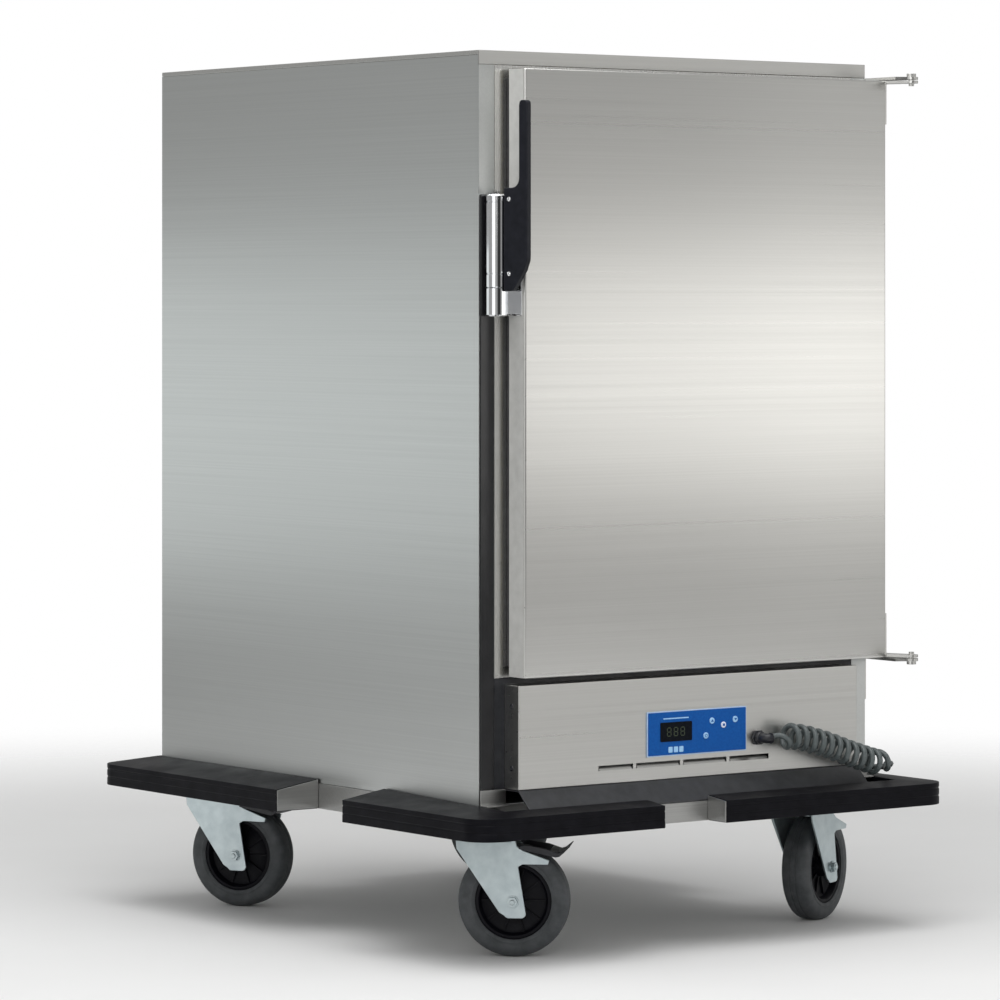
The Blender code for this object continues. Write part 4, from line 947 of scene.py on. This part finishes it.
def corner_bumper(corner):
    """An L of rubber with a rounded corner, a sloped top and two grooves round its face."""
    sx, sy, (edge_x, edge_y), walls, bottom = bumper_place(corner)
    wall_x, wall_y = sx * walls[0], sy * walls[1]
    top_x, top_y = BUMPER_TOP_SIDE, BUMPER_TOP_END[sy]
    levels = [(bottom, 0.0)]
    for groove in (bottom + 0.0105, BUMPER_EDGE_Z - 0.0100):
        levels += [(groove, 0.0), (groove + 0.0010, GROOVE),
                   (groove + 0.0025, GROOVE), (groove + 0.0035, 0.0)]
    levels.append((BUMPER_EDGE_Z, 0.0))
    cx, cy = sx * (HALF_W - BUMPER_CORNER_R), sy * (HALF_D - BUMPER_CORNER_R)
    bm = bmesh.new()
    rings = []
    for z, inset in levels:
        radius = BUMPER_CORNER_R - inset
        turn = [(cx + sx * px, cy + sy * py) for px, py in arc(0, 0, radius, 90, 0, 16)]
        outer = [(edge_x, sy * (HALF_D - inset))] + turn + [(sx * (HALF_W - inset), edge_y)]
        rings.append([bm.verts.new((x, y, z)) for x, y in outer])
    count = len(rings[0])
    for lower, upper in zip(rings, rings[1:]):
        for i in range(count - 1):
            bm.faces.new((lower[i], lower[i + 1], upper[i + 1], upper[i]))
    inner = [(edge_x, wall_y), (wall_x, wall_y), (wall_x, edge_y)]
    inner_low = [bm.verts.new((x, y, bottom)) for x, y in inner]
    inner_high = [bm.verts.new((x, y, z)) for (x, y), z in zip(inner, (top_y, min(top_x, top_y), top_x))]
    for i in range(2):
        bm.faces.new((inner_low[i], inner_low[i + 1], inner_high[i + 1], inner_high[i]))
    for ring, side in ((rings[0], inner_low), (rings[-1], inner_high)):
        bm.faces.new((ring[0], ring[1], side[1], side[0]))
        for i in range(1, count - 2):
            bm.faces.new((ring[i], ring[i + 1], side[1]))
        bm.faces.new((ring[-2], ring[-1], side[2], side[1]))
    for end in (0, -1):
        bm.faces.new([ring[end] for ring in rings] + [inner_high[end], inner_low[end]])
    piece("bumper_profile_" + corner, bm, BUMPER, "carcass", ("bumper_" + corner,), 50, 0.0035, 3)


def bumper_ends(corner):
    """Steel plates that close the two ends of a bumper."""
    sx, sy, (edge_x, edge_y), walls, bottom = bumper_place(corner)
    across = Matrix(((sx, 0, 0, 0), (0, 0, -sy, edge_y), (0, 1, 0, 0), (0, 0, 0, 1)))
    along = Matrix(((0, 0, -sx, edge_x), (sy, 0, 0, 0), (0, 1, 0, 0), (0, 0, 0, 1)))
    lip, thick = 0.0010, 0.0016
    bm = bmesh.new()
    for wall, outer, top, place in ((walls[0], HALF_W - lip, BUMPER_TOP_SIDE, across),
                                    (walls[1], HALF_D - lip, BUMPER_TOP_END[sy], along)):
        profile = [(wall, bottom + lip), (outer, bottom + lip),
                   (outer, BUMPER_EDGE_Z - lip), (wall, top - lip)]
        add_prism(bm, profile, 0.0, thick, place)
    piece("bumper_ends_" + corner, bm, CHASSIS_STEEL, "carcass", (), 30, 0.0004)


def corner_gussets():
    """Steel plates that close the gap between the cabinet's front corners and the chassis."""
    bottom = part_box("chassis_frame")[1].z + 0.0002
    frame_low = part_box("bay_frame")[0]
    front, top = frame_low.y - 0.0045, frame_low.z - 0.0002
    apron_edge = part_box("front_apron")[1].x
    cabinet_edge = 0.3600
    for side, sign in (("left", -1), ("right", 1)):
        x0, x1 = sorted((sign * (apron_edge + 0.0010), sign * cabinet_edge))
        bm = bmesh.new()
        add_box(bm, (x0, front, bottom), (x1, front + 0.0020, top))
        add_box(bm, (x0, frame_low.y - 0.0200, bottom), (x1, front, bottom + 0.0020))
        piece("corner_gusset_" + side, bm, CHASSIS_STEEL, "carcass", (), 30, 0.0004)


# ---- back, inside, kept CAD nodes ----
def push_handle():
    """Bent bar, with a screwed flange at each end."""
    low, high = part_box("push_handle")
    radius = (high.z - low.z) / 2
    height = (high.z + low.z) / 2
    start, bend = low.y, 0.0300
    half = high.x - radius
    turn_y = high.y - radius - bend
    line = [(-half, start)] + arc(-half + bend, turn_y, bend, 180, 90, 16)
    line += arc(half - bend, turn_y, bend, 90, 0, 16) + [(half, start)]
    points = [(px, py, height) for px, py in line]
    tube("handle_bar", points, radius, CHROME, "carcass", ("push_handle",), 8)
    bm = bmesh.new()
    for x in (-half, half):
        flange = facing((x, start, height), (0, 1, 0))
        add_lathe(bm, [(0, 0), (0.0200, 0), (0.0200, 0.0020), (0.0185, 0.0032), (0.0122, 0.0038),
                       (0.0113, 0.0060), (0, 0.0060)], flange, 48)
        for side in (-1, 1):
            add_screw(bm, flange @ Matrix.Translation((side * 0.0158, 0, 0.0028)), 0.0026, 0.0014)
    piece("handle_flanges", bm, CHROME, "carcass", (), 40)


def panel_rivets():
    """Dome rivets along the back panel's two upright edges."""
    low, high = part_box("back_panel")
    bm = bmesh.new()
    rows, inset = 7, 0.03
    for i in range(rows):
        z = low.z + inset + (high.z - low.z - 2 * inset) * i / (rows - 1)
        for x in (low.x + 0.012, high.x - 0.012):
            add_lathe(bm, [(0.0036, -0.0002), (0.0034, 0.0006), (0.0022, 0.0014), (0, 0.0017)],
                      facing((x, high.y, z), (0, 1, 0)), 16)
    piece("back_rivets", bm, PLAIN_STEEL, "carcass")


def heating_element():
    """A bar bent into three hairpins."""
    low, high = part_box("heating_element")
    radius = (high.z - low.z) / 2
    z = (low.z + high.z) / 2
    turns = 3
    bend = (high.y - low.y - 2 * radius) / (2 * turns)
    left, right = low.x + radius + bend, high.x - radius - bend
    line = [(right, low.y + radius)]
    for turn in range(turns):
        y = low.y + radius + (2 * turn + 1) * bend
        line += arc(left, y, bend, -90, -270, 19) if turn % 2 == 0 else arc(right, y, bend, -90, 90, 19)
    line.append((right, high.y - radius))
    tube("element_tube", [(px, py, z) for px, py in line], radius, ELEMENT, "carcass",
         ("heating_element",), 6)


KEPT = (                         # material, width of the rounded edges, nodes
    (SIDE_STEEL, 0.0006, ("side_panel_left", "side_panel_right", "heater_tray", "floor_panel")),
    (FRONT_STEEL, 0.0006, ("top_panel", "back_panel")),
    (FRAME_STEEL, 0.0006, ("door_frame",)),
    (CHASSIS_STEEL, 0.0006, ("chassis_frame",)),
    (PLAIN_STEEL, 0.0004, ("hinge_arm_upper", "hinge_arm_lower", "hinge_leaf_upper", "hinge_leaf_lower",
                           "fan_wheel")),
    (LINER_STEEL, 0.0003, ("inner_liner", "pan_rack_left", "pan_rack_right", "door_liner")),
    (FOAM, 0.0, ("insulation", "door_insulation")),
    (SEAL, 0.0010, ("door_gasket",)),
    (BLACK, 0.0005, ("fan_motor", "bay_frame")),
    # the stile_trim node carries a painted dark reflection of the stile
    (STILE_DARK_PAINT, 0.0, ("stile_trim",)),
    (APRON, 0.0005, ("front_apron",)),
)


def kept_nodes():
    """Materials and rounded edges for the nodes whose shape stays."""
    for mat, edge, names in KEPT:
        for name in names:
            obj = NODES[name]
            obj.data.materials.clear()
            obj.data.materials.append(mat)
            if edge:
                weld = obj.modifiers.new("weld", "WELD")
                weld.merge_threshold = 0.00001
                rounded(obj, edge).harden_normals = False


def main():
    """Builds the whole scene."""
    camera()
    studio()
    power_cord()
    cable_gland()
    for corner in CORNERS:
        castor(corner)
        corner_bumper(corner)
        bumper_ends(corner)
    corner_gussets()
    control_unit()
    control_panel()
    door()
    latch()
    hinge_screws()
    push_handle()
    panel_rivets()
    heating_element()
    kept_nodes()


main()
